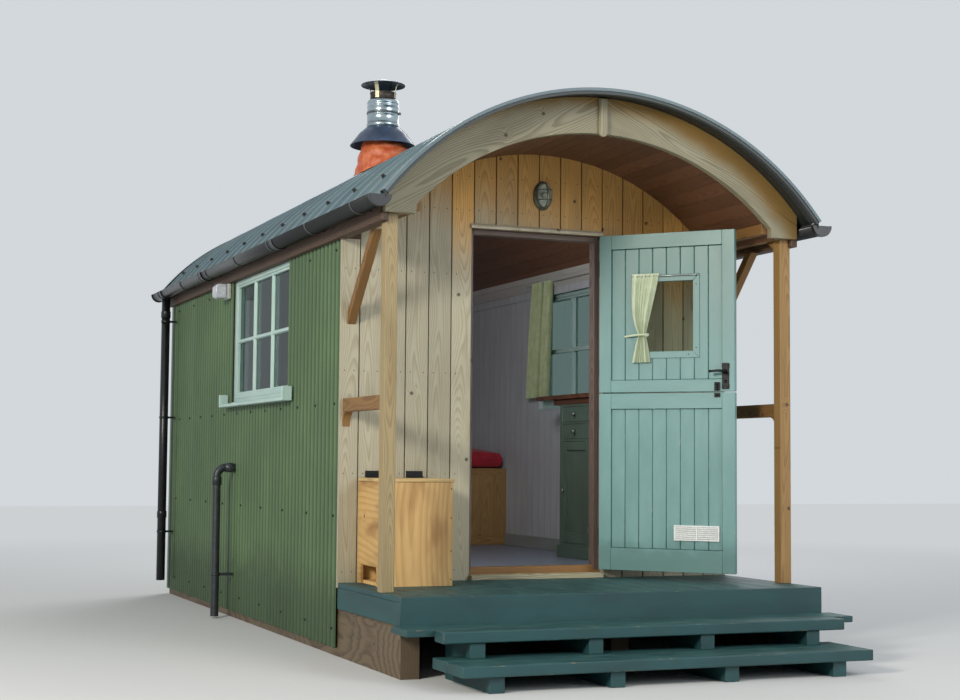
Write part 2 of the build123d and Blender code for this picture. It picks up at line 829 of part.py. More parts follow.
drip_height = 30.0
drip_projection = 20.0
with BuildPart() as drip_mould:
    with BuildSketch(Plane.YZ.offset(opening_left - 8)):
        with BuildLine():
            Polyline((-seat, opening_top + 2), (-drip_projection, opening_top),
                     (-drip_projection, opening_top + drip_height * 0.5),
                     (-seat, opening_top + drip_height), close=True)
        make_face()
    extrude(amount=opening_right - opening_left + 8)
save(drip_mould, "drip_mould")

with BuildPart() as door_sill:
    with BuildSketch(Plane.YZ.offset(opening_left + seat)):
        with BuildLine():
            Polyline((sill_front, deck_top), (-seat, deck_top), (-seat, deck_top - 0.5), (0, deck_top - 0.5),
                     (0, chassis_top), (frame_back - seat, chassis_top), (frame_back - seat, threshold_top),
                     (rebate_depth, threshold_top), (rebate_depth, threshold_top - sill_rebate),
                     (sill_front, deck_top + sill_front_rise), close=True)
        make_face()
    extrude(amount=opening_right - opening_left - 2 * seat)
save(door_sill, "door_sill")

# Door leaves. They hang on the right jamb and stand open in the rest position.
leaf_direction = 180.0 + leaf_open_angle
leaf_axis = Vector(cos(radians(leaf_direction)), sin(radians(leaf_direction)), 0)
leaf_plane = Plane(origin=(hinge_x, hinge_y, 0), x_dir=leaf_axis, z_dir=(0, 0, 1))
leaf_start = hinge_edge_gap
leaf_end = hinge_edge_gap + leaf_width
leaf_outside = -(leaf_proud * 2)
leaf_inside = leaf_outside - leaf_thickness
split_low = leaf_bottom + lower_leaf_height
split_high = split_low + leaf_split
leaf_top = leaf_bottom + leaf_height
panel_left = leaf_start + stile_width
panel_right = leaf_end - stile_width
panel_board = (panel_right - panel_left) / panel_board_count


def panelled_leaf(bottom, top, low_rail, high_rail):
    """A framed leaf whose boarded panel sits back from the frame on the inside."""
    block(leaf_start, leaf_end, leaf_inside, leaf_outside, bottom, top)
    block(panel_left, panel_right, leaf_inside, leaf_inside + panel_recess, bottom + low_rail, top - high_rail,
          mode=Mode.SUBTRACT)
    for index in range(1, panel_board_count):
        seam_x = panel_left + index * panel_board
        block(seam_x - groove_size / 2, seam_x + groove_size / 2, leaf_inside + panel_recess,
              leaf_inside + panel_recess + groove_size, bottom + low_rail, top - high_rail, mode=Mode.SUBTRACT)


with BuildPart(leaf_plane) as lower_leaf:
    panelled_leaf(leaf_bottom, split_low, bottom_rail_height, lower_leaf_top_rail)
save(lower_leaf, "lower_leaf")

low_x = panel_left + light_inset
high_x = low_x + light_width
low_z = split_high + light_rise
high_z = low_z + light_height
with BuildPart(leaf_plane) as upper_leaf:
    panelled_leaf(split_high, leaf_top, upper_leaf_bottom_rail, top_rail_height)
    block(low_x, high_x, leaf_inside - light_frame_proud + panel_recess, leaf_outside, low_z, high_z)
    block(low_x + light_frame_width, high_x - light_frame_width, leaf_inside - 1, leaf_outside + 1,
          low_z + light_frame_width, high_z - light_frame_width, mode=Mode.SUBTRACT)
save(upper_leaf, "upper_leaf")

with BuildPart(leaf_plane) as leaf_glass:
    middle = (leaf_inside + leaf_outside) / 2
    block(low_x + light_frame_width + seat, high_x - light_frame_width - seat, middle - glass_thickness / 2,
          middle + glass_thickness / 2, low_z + light_frame_width + seat, high_z - light_frame_width - seat)
save(leaf_glass, "leaf_glass")

curtain_face = leaf_inside + panel_recess - light_frame_proud - seat
with BuildPart(leaf_plane) as leaf_curtain:
    with BuildSketch(Plane(origin=leaf_plane.from_local_coords((low_x, curtain_face, 0)), x_dir=leaf_axis,
                           z_dir=-leaf_plane.y_dir)):
        with BuildLine():
            top = high_z + curtain_top_rise
            tie = low_z + curtain_tie_rise
            hem = low_z - curtain_hem_drop
            Polyline((curtain_edges_hem[0], hem), (curtain_edges_tie[0], tie), (curtain_edges_top[0], top),
                     (curtain_edges_top[1], top), (curtain_edges_tie[1], tie), (curtain_edges_hem[1], hem),
                     close=True)
        make_face()
    extrude(amount=curtain_thickness)
save(leaf_curtain, "leaf_curtain")

# Lever handle on its long plate
plate_right = leaf_end - lock_inset
plate_left = plate_right - lock_width
plate_low = split_high + lock_rise
plate_high = plate_low + lock_height
lever_height = plate_low + lever_rise
lever_x = (plate_left + plate_right) / 2
with BuildPart(leaf_plane) as lock_plate:
    block(plate_left, plate_right, leaf_inside - plate_thickness, leaf_inside - seat, plate_low, plate_high)
save(lock_plate, "lock_plate")

lever_face = Plane(origin=leaf_plane.from_local_coords((lever_x, leaf_inside - plate_thickness - seat, lever_height)),
                   x_dir=leaf_axis, z_dir=-leaf_plane.y_dir)
with BuildPart() as lever_handle:
    with BuildSketch(lever_face):
        Circle(spindle_radius)
    extrude(amount=lever_reach)
    with BuildSketch(lever_face.offset(lever_reach - lever_thickness)):
        with Locations((lever_depth / 2 + 1 - lever_length / 2, 0)):
            SlotOverall(lever_length, lever_depth)
    extrude(amount=lever_thickness)
save(lever_handle, "lever_handle")

# Butt hinges: the middle knuckle turns with the leaf, the outer two stay on the jamb
lower_hinge_heights = (leaf_bottom + hinge_from_end, split_low - hinge_from_split)
upper_hinge_heights = (split_high + hinge_from_split, leaf_top - hinge_from_end)
middle_knuckle = 0.4 * knuckle_length
end_knuckle = (knuckle_length - middle_knuckle) / 2 - seat
end_knuckle_offset = (middle_knuckle + end_knuckle) / 2 + seat
flap_thickness = 2.0
flap_depth = 30.0
for name, heights in (("lower_hinges", lower_hinge_heights), ("upper_hinges", upper_hinge_heights)):
    with BuildPart(leaf_plane) as leaf_hinges:
        for height in heights:
            with Locations((0, 0, height)):
                Cylinder(knuckle_radius, middle_knuckle)
            block(leaf_start - seat - flap_thickness, leaf_start - seat, leaf_outside - flap_depth, 0,
                  height - middle_knuckle / 2, height + middle_knuckle / 2)
    save(leaf_hinges, name)

with BuildPart() as jamb_hinges:
    for height in lower_hinge_heights + upper_hinge_heights:
        flap_outer = opening_right - seat
        for offset in (-end_knuckle_offset, end_knuckle_offset):
            with Locations((hinge_x, hinge_y, height + offset)):
                Cylinder(knuckle_radius, end_knuckle)
            block(flap_outer - flap_thickness, flap_outer, hinge_y, board_thickness,
                  height + offset - end_knuckle / 2, height + offset + end_knuckle / 2)
        block(flap_outer - flap_thickness, flap_outer, hinge_y + knuckle_radius + 1, flap_depth,
              height - knuckle_length / 2, height + knuckle_length / 2)
save(jamb_hinges, "jamb_hinges")

# Side windows: sash frame with glazing bars, panes and a sill tray
pane_area_y = window_back - window_front - 2 * casing_width
pane_area_z = plate_bottom - window_bottom - 2 * casing_width
pane_width = (pane_area_y - (window_columns - 1) * glazing_bar) / window_columns
pane_height = (pane_area_z - (window_rows - 1) * glazing_bar) / window_rows


def panes(inset, x0, x1, mode=Mode.ADD):
    """One block for each pane, smaller than its hole by the inset all round."""
    for column in range(window_columns):
        for row in range(window_rows):
            y = window_front + casing_width + column * (pane_width + glazing_bar)
            z = window_bottom + casing_width + row * (pane_height + glazing_bar)
            block(x0, x1, y + inset, y + pane_width - inset, z + inset, z + pane_height - inset, mode=mode)


glass_inset = 26.0
with BuildPart() as window_frames:
    for low, high in mirrored(wall_outer - casing_depth, wall_outer):
        block(low, high, window_front + seat, window_back - seat, window_bottom + seat, plate_bottom - seat)
        panes(0.0, low - 1, high + 1, mode=Mode.SUBTRACT)
save(window_frames, "window_frames")

with BuildPart() as window_glass:
    outer = wall_outer - glass_inset
    for low, high in mirrored(outer - glass_thickness, outer):
        panes(seat, low, high)
save(window_glass, "window_glass")

with BuildPart() as window_sills:
    inside = body_half_width + seat
    tray_outer = body_half_width + sill_projection
    tongue_inside = wall_outer - casing_depth
    tray_bottom = window_sill_top - sill_height
    for side in (-1, 1):
        with BuildSketch(across(sill_back_y)):
            with BuildLine():
                Polyline((side * tray_outer, tray_bottom), (side * inside, tray_bottom),
                         (side * inside, window_sill_top), (side * tray_outer, window_sill_top - 6), close=True)
            make_face()
        extrude(amount=sill_back_y - sill_front_y)
        with BuildSketch(across(window_back - seat)):
            with BuildLine():
                Polyline((side * (inside + 8), window_sill_top - 4), (side * (inside + 8), window_sill_top),
                         (side * inside, window_bottom), (side * tongue_inside, window_bottom),
                         (side * tongue_inside, window_sill_top + seat), (side * inside, window_sill_top + seat),
                         (side * inside, window_sill_top - 4), close=True)
            make_face()
        extrude(amount=window_back - window_front - 2 * seat)
        low, high = sorted((side * inside, side * tray_outer))
        for front in (sill_front_y - sill_end_thickness, sill_back_y):
            block(low, high, front, front + sill_end_thickness, tray_bottom, tray_bottom + sill_end_height)
save(window_sills, "window_sills")

# The two lights
with BuildPart() as porch_light:
    for reach, half_width, half_height in (porch_light_base, porch_light_bowl):
        with BuildSketch(across(-seat)):
            with Locations((porch_light_x, opening_top + porch_light_rise)):
                Ellipse(half_width, half_height)
        extrude(amount=reach)
    fillet(porch_light.faces().sort_by(Axis.Y)[0].edges(), porch_light_round)
save(porch_light, "porch_light")

with BuildPart() as side_light:
    block(-body_half_width - side_light_projection, -body_half_width - seat,
          side_light_y - side_light_width / 2, side_light_y + side_light_width / 2,
          side_light_z - side_light_height / 2, side_light_z + side_light_height / 2)
    fillet(side_light.faces().sort_by(Axis.X)[0].edges(), side_light_round)
save(side_light, "side_light")

# Waste pipe with one elbow, down the left wall
with BuildPart() as waste_pipe:
    with BuildLine():
        FilletPolyline((-wall_outer - seat, waste_y, waste_height), (-waste_drop_x, waste_y, waste_height),
                       (-waste_drop_x, waste_y, waste_foot), radius=waste_bend)
    with BuildSketch(Plane.YZ.offset(-wall_outer - seat)):
        with Locations((waste_y, waste_height)):
            Circle(waste_radius)
    sweep()
save(waste_pipe, "waste_pipe")

# Flue: boot over the sheets, storm cone, twin-wall pipe with a neck, and the cap on straps
flue_plane = Plane(origin=(flue_x, flue_y, 0), x_dir=(1, 0, 0), z_dir=(0, -1, 0))
flue_axis = Axis((flue_x, flue_y, 0), (0, 0, 1))

with BuildPart() as flue_pipe:
    with BuildSketch(flue_plane):
        with BuildLine():
            band_top = cone_top + flue_band_height
            Polyline((0, flue_bottom), (flue_radius, flue_bottom), (flue_radius, cone_top),
                     (flue_radius + flue_band, cone_top), (flue_radius + flue_band, band_top),
                     (flue_radius, band_top), (flue_radius, flue_body_top),
                     (neck_radius, flue_body_top + flue_shoulder), (neck_radius, neck_top), (0, neck_top),
                     close=True)
        make_face()
    revolve(axis=flue_axis)
save(flue_pipe, "flue_pipe")

strap_height = cap_rim - neck_top - seat
with BuildPart() as flue_cap:
    with BuildSketch(flue_plane):
        with BuildLine():
            Polyline((0, cap_rim - cap_edge), (cap_radius - cap_edge, cap_rim - cap_edge), (cap_radius, cap_rim),
                     (0, cap_rim + cap_height), close=True)
        make_face()
    revolve(axis=flue_axis)
    with Locations((flue_x, flue_y, cap_rim - strap_height / 2)):
        with PolarLocations(strap_radius, 4, 45):
            Box(strap_thickness, strap_width, strap_height)
save(flue_cap, "flue_cap")

with BuildPart() as storm_cone:
    with BuildSketch(flue_plane):
        with BuildLine():
            cone_bottom = cone_top - cone_height
            Polyline((flue_radius + seat, cone_top), (flue_radius + 10, cone_top), (cone_radius, cone_bottom),
                     (cone_radius - 4, cone_bottom - 4), (flue_radius + seat, cone_top - 12), close=True)
        make_face()
    revolve(axis=flue_axis)
save(storm_cone, "storm_cone")

with BuildPart() as flue_boot:
    with BuildSketch(flue_plane):
        with BuildLine():
            skirt = [(radius, boot_top - drop) for radius, drop in boot_profile]
            Polyline((0, skirt[0][1]), *skirt, (0, boot_top), close=True)
        make_face()
    revolve(axis=flue_axis)
    boot_reach = 2 * cone_radius
    with BuildSketch(across(flue_y + boot_reach)):
        with BuildLine():
            level = roof_height(wall_inner, roof_sheet_depth + seat)
            Polyline((-wall_inner, level), (-wall_inner, plate_bottom), (wall_inner, plate_bottom),
                     (wall_inner, level))
            arch(roof_height, wall_inner, roof_sheet_depth + seat)
        make_face()
    extrude(amount=2 * boot_reach, mode=Mode.SUBTRACT)
save(flue_boot, "flue_boot")

# Locker of sheet boards with a vent notch, and its lid
locker_top = deck_top + locker_height
with BuildPart() as locker:
    block(locker_left, locker_right, -locker_depth, -seat, deck_top + seat, locker_top)
    block(locker_left + locker_board, locker_right - locker_board, locker_board - locker_depth,
          -seat - locker_board, deck_top + locker_board, locker_top + 1, mode=Mode.SUBTRACT)
    block(locker_left - 1, locker_left + locker_board + 1, locker_vent_front - locker_depth, -locker_vent_back,
          deck_top + locker_board, deck_top + locker_board + locker_vent_height, mode=Mode.SUBTRACT)
save(locker, "locker")

lid_bottom = locker_top + seat
with BuildPart() as locker_lid:
    block(locker_left - lid_overhang, locker_right + lid_overhang, -locker_depth - lid_overhang, lid_pin_y,
          lid_bottom, lid_bottom + lid_thickness)
save(locker_lid, "locker_lid")

# Lid hinges: the middle knuckle and its flap turn with the lid, the end knuckles hang on the wall
lid_top = lid_bottom + lid_thickness
lid_pin_z = lid_top + seat + lid_knuckle_radius
lid_hinge_centres = (locker_left + lid_hinge_inset, locker_right - lid_hinge_inset)
with BuildPart() as lid_hinges:
    for centre in lid_hinge_centres:
        with Locations(Location((centre, lid_pin_y, lid_pin_z), (0, 90, 0))):
            Cylinder(lid_knuckle_radius, middle_knuckle)
        block(centre - middle_knuckle / 2, centre + middle_knuckle / 2, lid_pin_y - lid_flap, lid_pin_y,
              lid_top + seat, lid_top + seat + flap_thickness)
save(lid_hinges, "lid_hinges")

with BuildPart() as lid_wall_hinges:
    for centre in lid_hinge_centres:
        for offset in (-end_knuckle_offset, end_knuckle_offset):
            with Locations(Location((centre + offset, lid_pin_y, lid_pin_z), (0, 90, 0))):
                Cylinder(lid_knuckle_radius, end_knuckle)
            block(centre + offset - end_knuckle / 2, centre + offset + end_knuckle / 2, lid_pin_y, -seat,
                  lid_pin_z, lid_pin_z + flap_thickness)
        block(centre - knuckle_length / 2, centre + knuckle_length / 2, -seat - flap_thickness, -seat,
              lid_pin_z, lid_pin_z + lid_flap)
save(lid_wall_hinges, "lid_wall_hinges")

# Fitted cabinet with its worktop, and the bench across the back with its cushion
cabinet_top_level = floor_top + cabinet_height
worktop_level = cabinet_top_level + apron_height
with BuildPart() as cabinet:
    block(cabinet_left, wall_inner - seat, cabinet_front, cabinet_back, floor_top + plinth_height,
          cabinet_top_level)
    block(cabinet_left - plinth_proud, wall_inner - seat, cabinet_front - plinth_proud,
          cabinet_back + plinth_proud, floor_top, floor_top + plinth_height)
save(cabinet, "cabinet")

with BuildPart() as cabinet_top:
    block(cabinet_left, wall_inner - seat, cabinet_front, cabinet_back + apron_reach, cabinet_top_level,
          worktop_level)
    block(cabinet_left - worktop_overhang, wall_inner - seat, cabinet_front - worktop_overhang,
          cabinet_back + worktop_reach, worktop_level, worktop_level + worktop_thickness)
save(cabinet_top, "cabinet_top")

bench_top = floor_top + bench_height
with BuildPart() as bench:
    block(-wall_inner + seat, wall_inner - seat, bench_front, back_wall_inner - seat, floor_top, bench_top)
save(bench, "bench")

with BuildPart() as bench_cushion:
    block(-wall_inner + cushion_inset, wall_inner - cushion_inset, bench_front + cushion_inset,
          back_wall_inner - cushion_inset, bench_top + seat, bench_top + cushion_thickness)
    fillet(bench_cushion.edges(), cushion_round)
save(bench_cushion, "bench_cushion")
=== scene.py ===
import math
import random
import bpy
import bmesh
from mathutils import Matrix, Vector


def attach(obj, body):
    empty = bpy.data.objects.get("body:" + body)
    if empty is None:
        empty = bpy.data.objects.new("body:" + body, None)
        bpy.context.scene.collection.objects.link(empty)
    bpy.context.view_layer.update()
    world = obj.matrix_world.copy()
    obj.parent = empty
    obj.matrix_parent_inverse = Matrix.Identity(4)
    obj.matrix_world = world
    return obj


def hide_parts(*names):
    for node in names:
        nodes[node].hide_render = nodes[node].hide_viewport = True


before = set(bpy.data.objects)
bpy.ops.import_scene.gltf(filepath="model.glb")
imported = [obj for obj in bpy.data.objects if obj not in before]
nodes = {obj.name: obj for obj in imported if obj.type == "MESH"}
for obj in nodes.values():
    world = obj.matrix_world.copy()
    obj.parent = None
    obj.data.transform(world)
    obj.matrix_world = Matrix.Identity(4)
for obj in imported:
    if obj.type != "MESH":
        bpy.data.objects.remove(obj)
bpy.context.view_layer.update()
scene = bpy.context.scene

# Sizes repeated from the part's source, in metres. Z is up from the ground.
DECK_TOP = 0.41
FLOOR_TOP = 0.44
DECK_BOARD = 0.028
CHASSIS_TOP = DECK_TOP - DECK_BOARD
PLATE_BOTTOM = 2.348
BODY_HALF = 1.246
BODY_LENGTH = 4.65
WALL_OUTER = 1.228
BACK_OUTER = 4.632
BACK_INNER = 4.532
FRAME_BACK = 0.11
FRONT_BOARD = 0.02
PORCH = 1.048
WAVE_PITCH = 0.0762
WAVE_DEPTH = 0.017
CLADDING_BOTTOM = 0.045
WINDOW_Y = (1.1, 2.54)
WINDOW_Z = (1.495, 2.348)
PLATE_IN, PLATE_OUT = 1.131, 1.231
ROOF_SEAT = 2.391
EAVE_X = 1.306
ROOF_Z = 1.447344
ROOF_R = 1.658656
ARC_HALF = math.asin(EAVE_X / ROOF_R)
ROOF_Y = (-0.955, 4.785)
CEILING_Z = 1.460475
CEILING_R = 1.459525
CEILING_BOARD = 0.012
DOOR_LEFT = -0.4535
DOOR_RIGHT = 0.3945
DOOR_TOP = 2.455
# How far a piece stands off the solid it rests on, and off the next board of its own piece.
SEAT = 0.0003
GAP = 0.0002


# Materials are built from nodes; every colour is an sRGB hex value made linear here
def linear(code):
    """An sRGB hex colour as linear RGBA."""
    values = [int(code[i:i + 2], 16) / 255 for i in (0, 2, 4)]
    return tuple(v / 12.92 if v <= 0.04045 else ((v + 0.055) / 1.055) ** 2.4 for v in values) + (1.0,)


def node_adder(tree):
    """The one function that adds nodes to a tree: inputs in the node's own order, or by name in a dict.

    A word after the kind is the node's operation. None leaves an input alone, and out=None gives
    every output."""
    def add(kind, *inputs, out=0, **settings):
        kind, _, operation = kind.partition(" ")
        node = tree.nodes.new(kind if "Node" in kind else "ShaderNode" + kind)
        if operation:
            node.operation = operation
        for key, value in settings.items():
            setattr(node, key, value)
        pairs = inputs[0].items() if inputs and isinstance(inputs[0], dict) else enumerate(inputs)
        for key, value in pairs:
            if isinstance(value, bpy.types.NodeSocket):
                tree.links.new(value, node.inputs[key])
            elif value is not None:
                node.inputs[key].default_value = value
        return node.outputs if out is None else node.outputs[out]
    return add


# A Mix node's colour sockets are 0, 6 and 7, and its colour comes out at 2.
RGBA = {"out": 2, "data_type": "RGBA"}
# A Map Range node that eases from one value to another while its input goes from low to high.
EASED = {"interpolation_type": "SMOOTHSTEP"}


def material(name):
    """An empty node material, and the function that adds its nodes."""
    made = bpy.data.materials.new(name)
    made.use_nodes = True
    made.node_tree.nodes.clear()
    return made, node_adder(made.node_tree)


def surface(add, colour, rough, bump=None, distance=0.0005, **sockets):
    """A principled shader with, where given, a bump map of the given depth in metres."""
    inputs = {"Base Color": colour, "Roughness": rough}
    if bump is not None:
        inputs["Normal"] = add("Bump", {"Strength": 1.0, "Distance": distance, "Height": bump})
    inputs.update((key.replace("_", " "), value) for key, value in sockets.items())
    return add("BsdfPrincipled", inputs)


def finish(made, add, *look, **sockets):
    """Close a material with one principled shader."""
    add("OutputMaterial", surface(add, *look, **sockets), out=None)
    return made


def blend(add, source, low, high, start, stop, under, over):
    """Lay one tone over another: from start to stop of it while the source goes from low to high."""
    share = add("MapRange", source, low, high, start, stop, **EASED)
    return add("Mix", {0: share, 6: under, 7: over}, **RGBA)


def grain_space(add, boards):
    """Coordinates along, across and into each board, and a random number for each board.

    Boards made here carry them as attributes. For a CAD node they come from its coordinates:
    boards is then (order of axes, first edge, cover)."""
    if boards is None:
        along, across, depth = add("SeparateXYZ", add("Attribute", out=1, attribute_name="grain"), out=None)
        seed = add("Attribute", out=2, attribute_name="seed")
        return along, across, depth, seed
    order, first, cover = boards
    parts = add("SeparateXYZ", add("TexCoord", out="Object"), out=None)
    along, across, depth = (parts["xyz".index(axis)] for axis in order)
    index = add("Math FLOOR", add("Math DIVIDE", add("Math SUBTRACT", across, first), cover))
    centre = add("Math MULTIPLY", add("Math ADD", index, 0.5), cover)
    across = add("Math SUBTRACT", add("Math SUBTRACT", across, first), centre)
    seed = add("TexWhiteNoise", {1: index}, noise_dimensions="1D")
    return along, across, depth, seed


def growth_rings(add, along, across, depth, seed, ring, knots):
    """Growth rings about a wandering pith, with knots: tone from 0 to 1, knot mask and fibres."""
    shift = add("Math MULTIPLY", seed, 41.3)
    slow, slower = (
        add("TexNoise", {"Vector": add("CombineXYZ", add("Math MULTIPLY", along, pace), start), "Scale": 1.0,
            "Detail": 1.0}, noise_dimensions="2D")
        for pace, start in ((0.9, shift), (0.7, add("Math ADD", shift, 19.0))))
    aside = add("Math MULTIPLY_ADD", slow, 0.16, -0.08)
    below = add("Math MULTIPLY_ADD", slower, 0.16, -0.02)
    dx = add("Math SUBTRACT", across, aside)
    dz = add("Math ADD", depth, below)
    radius = add("Math SQRT", add("Math ADD", add("Math MULTIPLY", dx, dx), add("Math MULTIPLY", dz, dz)))
    place = add("CombineXYZ", add("Math ADD", along, shift), across, depth)
    wave = add("TexNoise", add("VectorMath MULTIPLY", place, (2.5, 22.0, 22.0)), None, 1.0, 2.0)
    radius = add("Math MULTIPLY_ADD", wave, 0.01, radius)
    spot = add("CombineXYZ", add("Math ADD", along, shift), add("Math ADD", across, shift))
    cells = add("TexVoronoi", {"Vector": spot, "Scale": 3.2}, out=None, voronoi_dimensions="2D")
    rare = add("Math LESS_THAN", add("SeparateColor", cells["Color"]), knots)
    distance = add("Math ADD", cells["Distance"], add("Math SUBTRACT", 1.0, rare))
    radius = add("Math ADD", radius, add("MapRange", distance, 0.02, 0.16, 0.016, 0.0, **EASED))
    knot = add("MapRange", distance, 0.02, 0.046, 1.0, 0.0, **EASED)
    turns = add("Math DIVIDE", radius, ring)
    drift = add("CombineXYZ", add("Math MULTIPLY", turns, 0.21), shift)
    turns = add("Math ADD", turns, add("TexNoise", drift, None, 1.0, 1.0))
    tone = add("Math FRACT", turns)
    rise = add("MapRange", tone, 0.25, 0.86, **EASED)
    fall = add("MapRange", tone, 0.88, 1.0, 1.0, 0.0, **EASED)
    tone = add("Math MULTIPLY", rise, fall)
    fibres = add("TexNoise", add("VectorMath MULTIPLY", place, (9.0, 380.0, 380.0)), None, 1.0, 2.0, 0.65)
    return tone, knot, fibres, place


def timber(name, weathered, fresh=None, fresh_share=None, boards=None, ring=0.0075, knots=0.35, rough=0.62,
        stain="4A3826", stains=0.35, contrast=0.75):
    """Bare timber. Palettes are (early wood, late wood); the share function says where the fresh palette
    shows. On the front and barge boards it also holds painted shade.
    """
    made, add = material(name)
    along, across, depth, seed = grain_space(add, boards)
    tone, knot, fibres, place = growth_rings(add, along, across, depth, seed, ring, knots)
    tone = add("Math MULTIPLY", tone, contrast)
    tone = add("Math ADD", tone, add("Math MULTIPLY_ADD", fibres, 0.5, -0.22), use_clamp=True)
    colour = add("Mix", {0: tone, 6: linear(weathered[0]), 7: linear(weathered[1])}, **RGBA)
    if fresh:
        warm = add("Mix", {0: tone, 6: linear(fresh[0]), 7: linear(fresh[1])}, **RGBA)
        factor = fresh_share(add, add("TexCoord", out="Object"), seed) if fresh_share else 1.0
        colour = add("Mix", {0: factor, 6: colour, 7: warm}, **RGBA)
    tint = add("MapRange", seed, 0.0, 1.0, 0.8, 1.12, **EASED)
    colour = add("Mix", {0: 1.0, 6: colour, 7: add("CombineColor", tint, tint, tint)}, blend_type="MULTIPLY",
        **RGBA)
    cloud = add("TexNoise", add("VectorMath MULTIPLY", place, (1.4, 5.0, 5.0)), None, 1.0, 3.0, 0.6)
    colour = blend(add, cloud, 0.48, 0.78, 0.0, stains, colour, linear(stain))
    colour = add("Mix", {0: add("Math MULTIPLY", knot, 0.85), 6: colour, 7: linear("3A2414")}, **RGBA)
    height = add("Math ADD", add("Math MULTIPLY", tone, 0.6), fibres)
    return finish(made, add, colour, add("Math MULTIPLY_ADD", fibres, 0.2, rough - 0.1), height, 0.0012)


def painted_timber(name, colour, light, under="B8A888", wear=0.0, boards=None, rough=0.42, streak=0.12,
        dirt_and_shade="3C3A30", dirt_low=None, top=None, groove=False):
    """Paint over timber: soft variation, a hint of grain, and paint worn off along the edges. With dirt_low,
    also grime near the ground and painted shade towards the top.
    """
    made, add = material(name)
    along, across, depth, seed = grain_space(add, boards)
    place = add("CombineXYZ", add("Math MULTIPLY_ADD", seed, 23.0, along), across, depth)
    cloud = add("TexNoise", add("VectorMath MULTIPLY", place, (2.0, 7.0, 7.0)), None, 1.0, 4.0, 0.6)
    fibres = add("TexNoise", add("VectorMath MULTIPLY", place, (12.0, 300.0, 300.0)), None, 1.0, 2.0, 0.6)
    tone = blend(add, cloud, 0.3, 0.75, 0.0, 1.0, linear(colour), linear(light))
    tone = add("Mix", {0: add("Math MULTIPLY", fibres, streak), 6: tone, 7: linear(dirt_and_shade)}, **RGBA)
    if top:
        up = add("SeparateXYZ", add("NewGeometry", out=1), out=2)
        scuffed = add("TexNoise", add("VectorMath MULTIPLY", place, (5.0, 16.0, 16.0)), None, 1.0, 5.0, 0.65)
        upward = add("MapRange", up, 0.6, 0.95, **EASED)
        worn = add("Math MULTIPLY", upward, add("MapRange", scuffed, 0.35, 0.7, **EASED))
        tone = add("Mix", {0: add("Math MULTIPLY", worn, 0.8), 6: tone, 7: linear(top)}, **RGBA)
    if wear:
        edge = add("Attribute", out=2, attribute_name="edge")
        chips = add("TexNoise", add("VectorMath MULTIPLY", place, (18.0, 60.0, 60.0)), None, 1.0, 4.0, 0.7)
        chips = add("MapRange", chips, 0.62 - 0.2 * wear, 0.7 - 0.1 * wear, **EASED)
        worn = add("Math MULTIPLY", edge, chips)
        tone = add("Mix", {0: add("Math MULTIPLY", worn, 0.85), 6: tone, 7: linear(under)}, **RGBA)
    if dirt_low:
        height = add("SeparateXYZ", add("TexCoord", out="Object"), out=2)
        splash = add("TexNoise", add("TexCoord", out="Object"), None, 9.0, 4.0, 0.65)
        reach = add("Math MULTIPLY_ADD", splash, -0.22, height)
        tone = blend(add, reach, *dirt_low, 0.55, 0.0, tone, linear(dirt_and_shade))
        # Painted shade: the paint darkens towards the top, from 1.4 to 2.4 m up, for the shadow under the
        # roof.
        tone = blend(add, height, 1.4, 2.4, 0.0, 0.7, tone, linear(dirt_and_shade))
    height = fibres
    if groove:
        seam = add("Math SUBTRACT", 0.5 * boards[2], add("Math ABSOLUTE", across))
        flat = add("MapRange", seam, 0.001, 0.0045, **EASED)
        tone = add("Mix", {0: add("Math MULTIPLY_ADD", flat, -0.55, 0.55), 6: tone, 7: linear(dirt_and_shade)}, **RGBA)
        height = add("Math MULTIPLY_ADD", flat, 6.0, fibres)
    return finish(made, add, tone, add("Math MULTIPLY_ADD", cloud, 0.18, rough - 0.09), height, 0.00035)


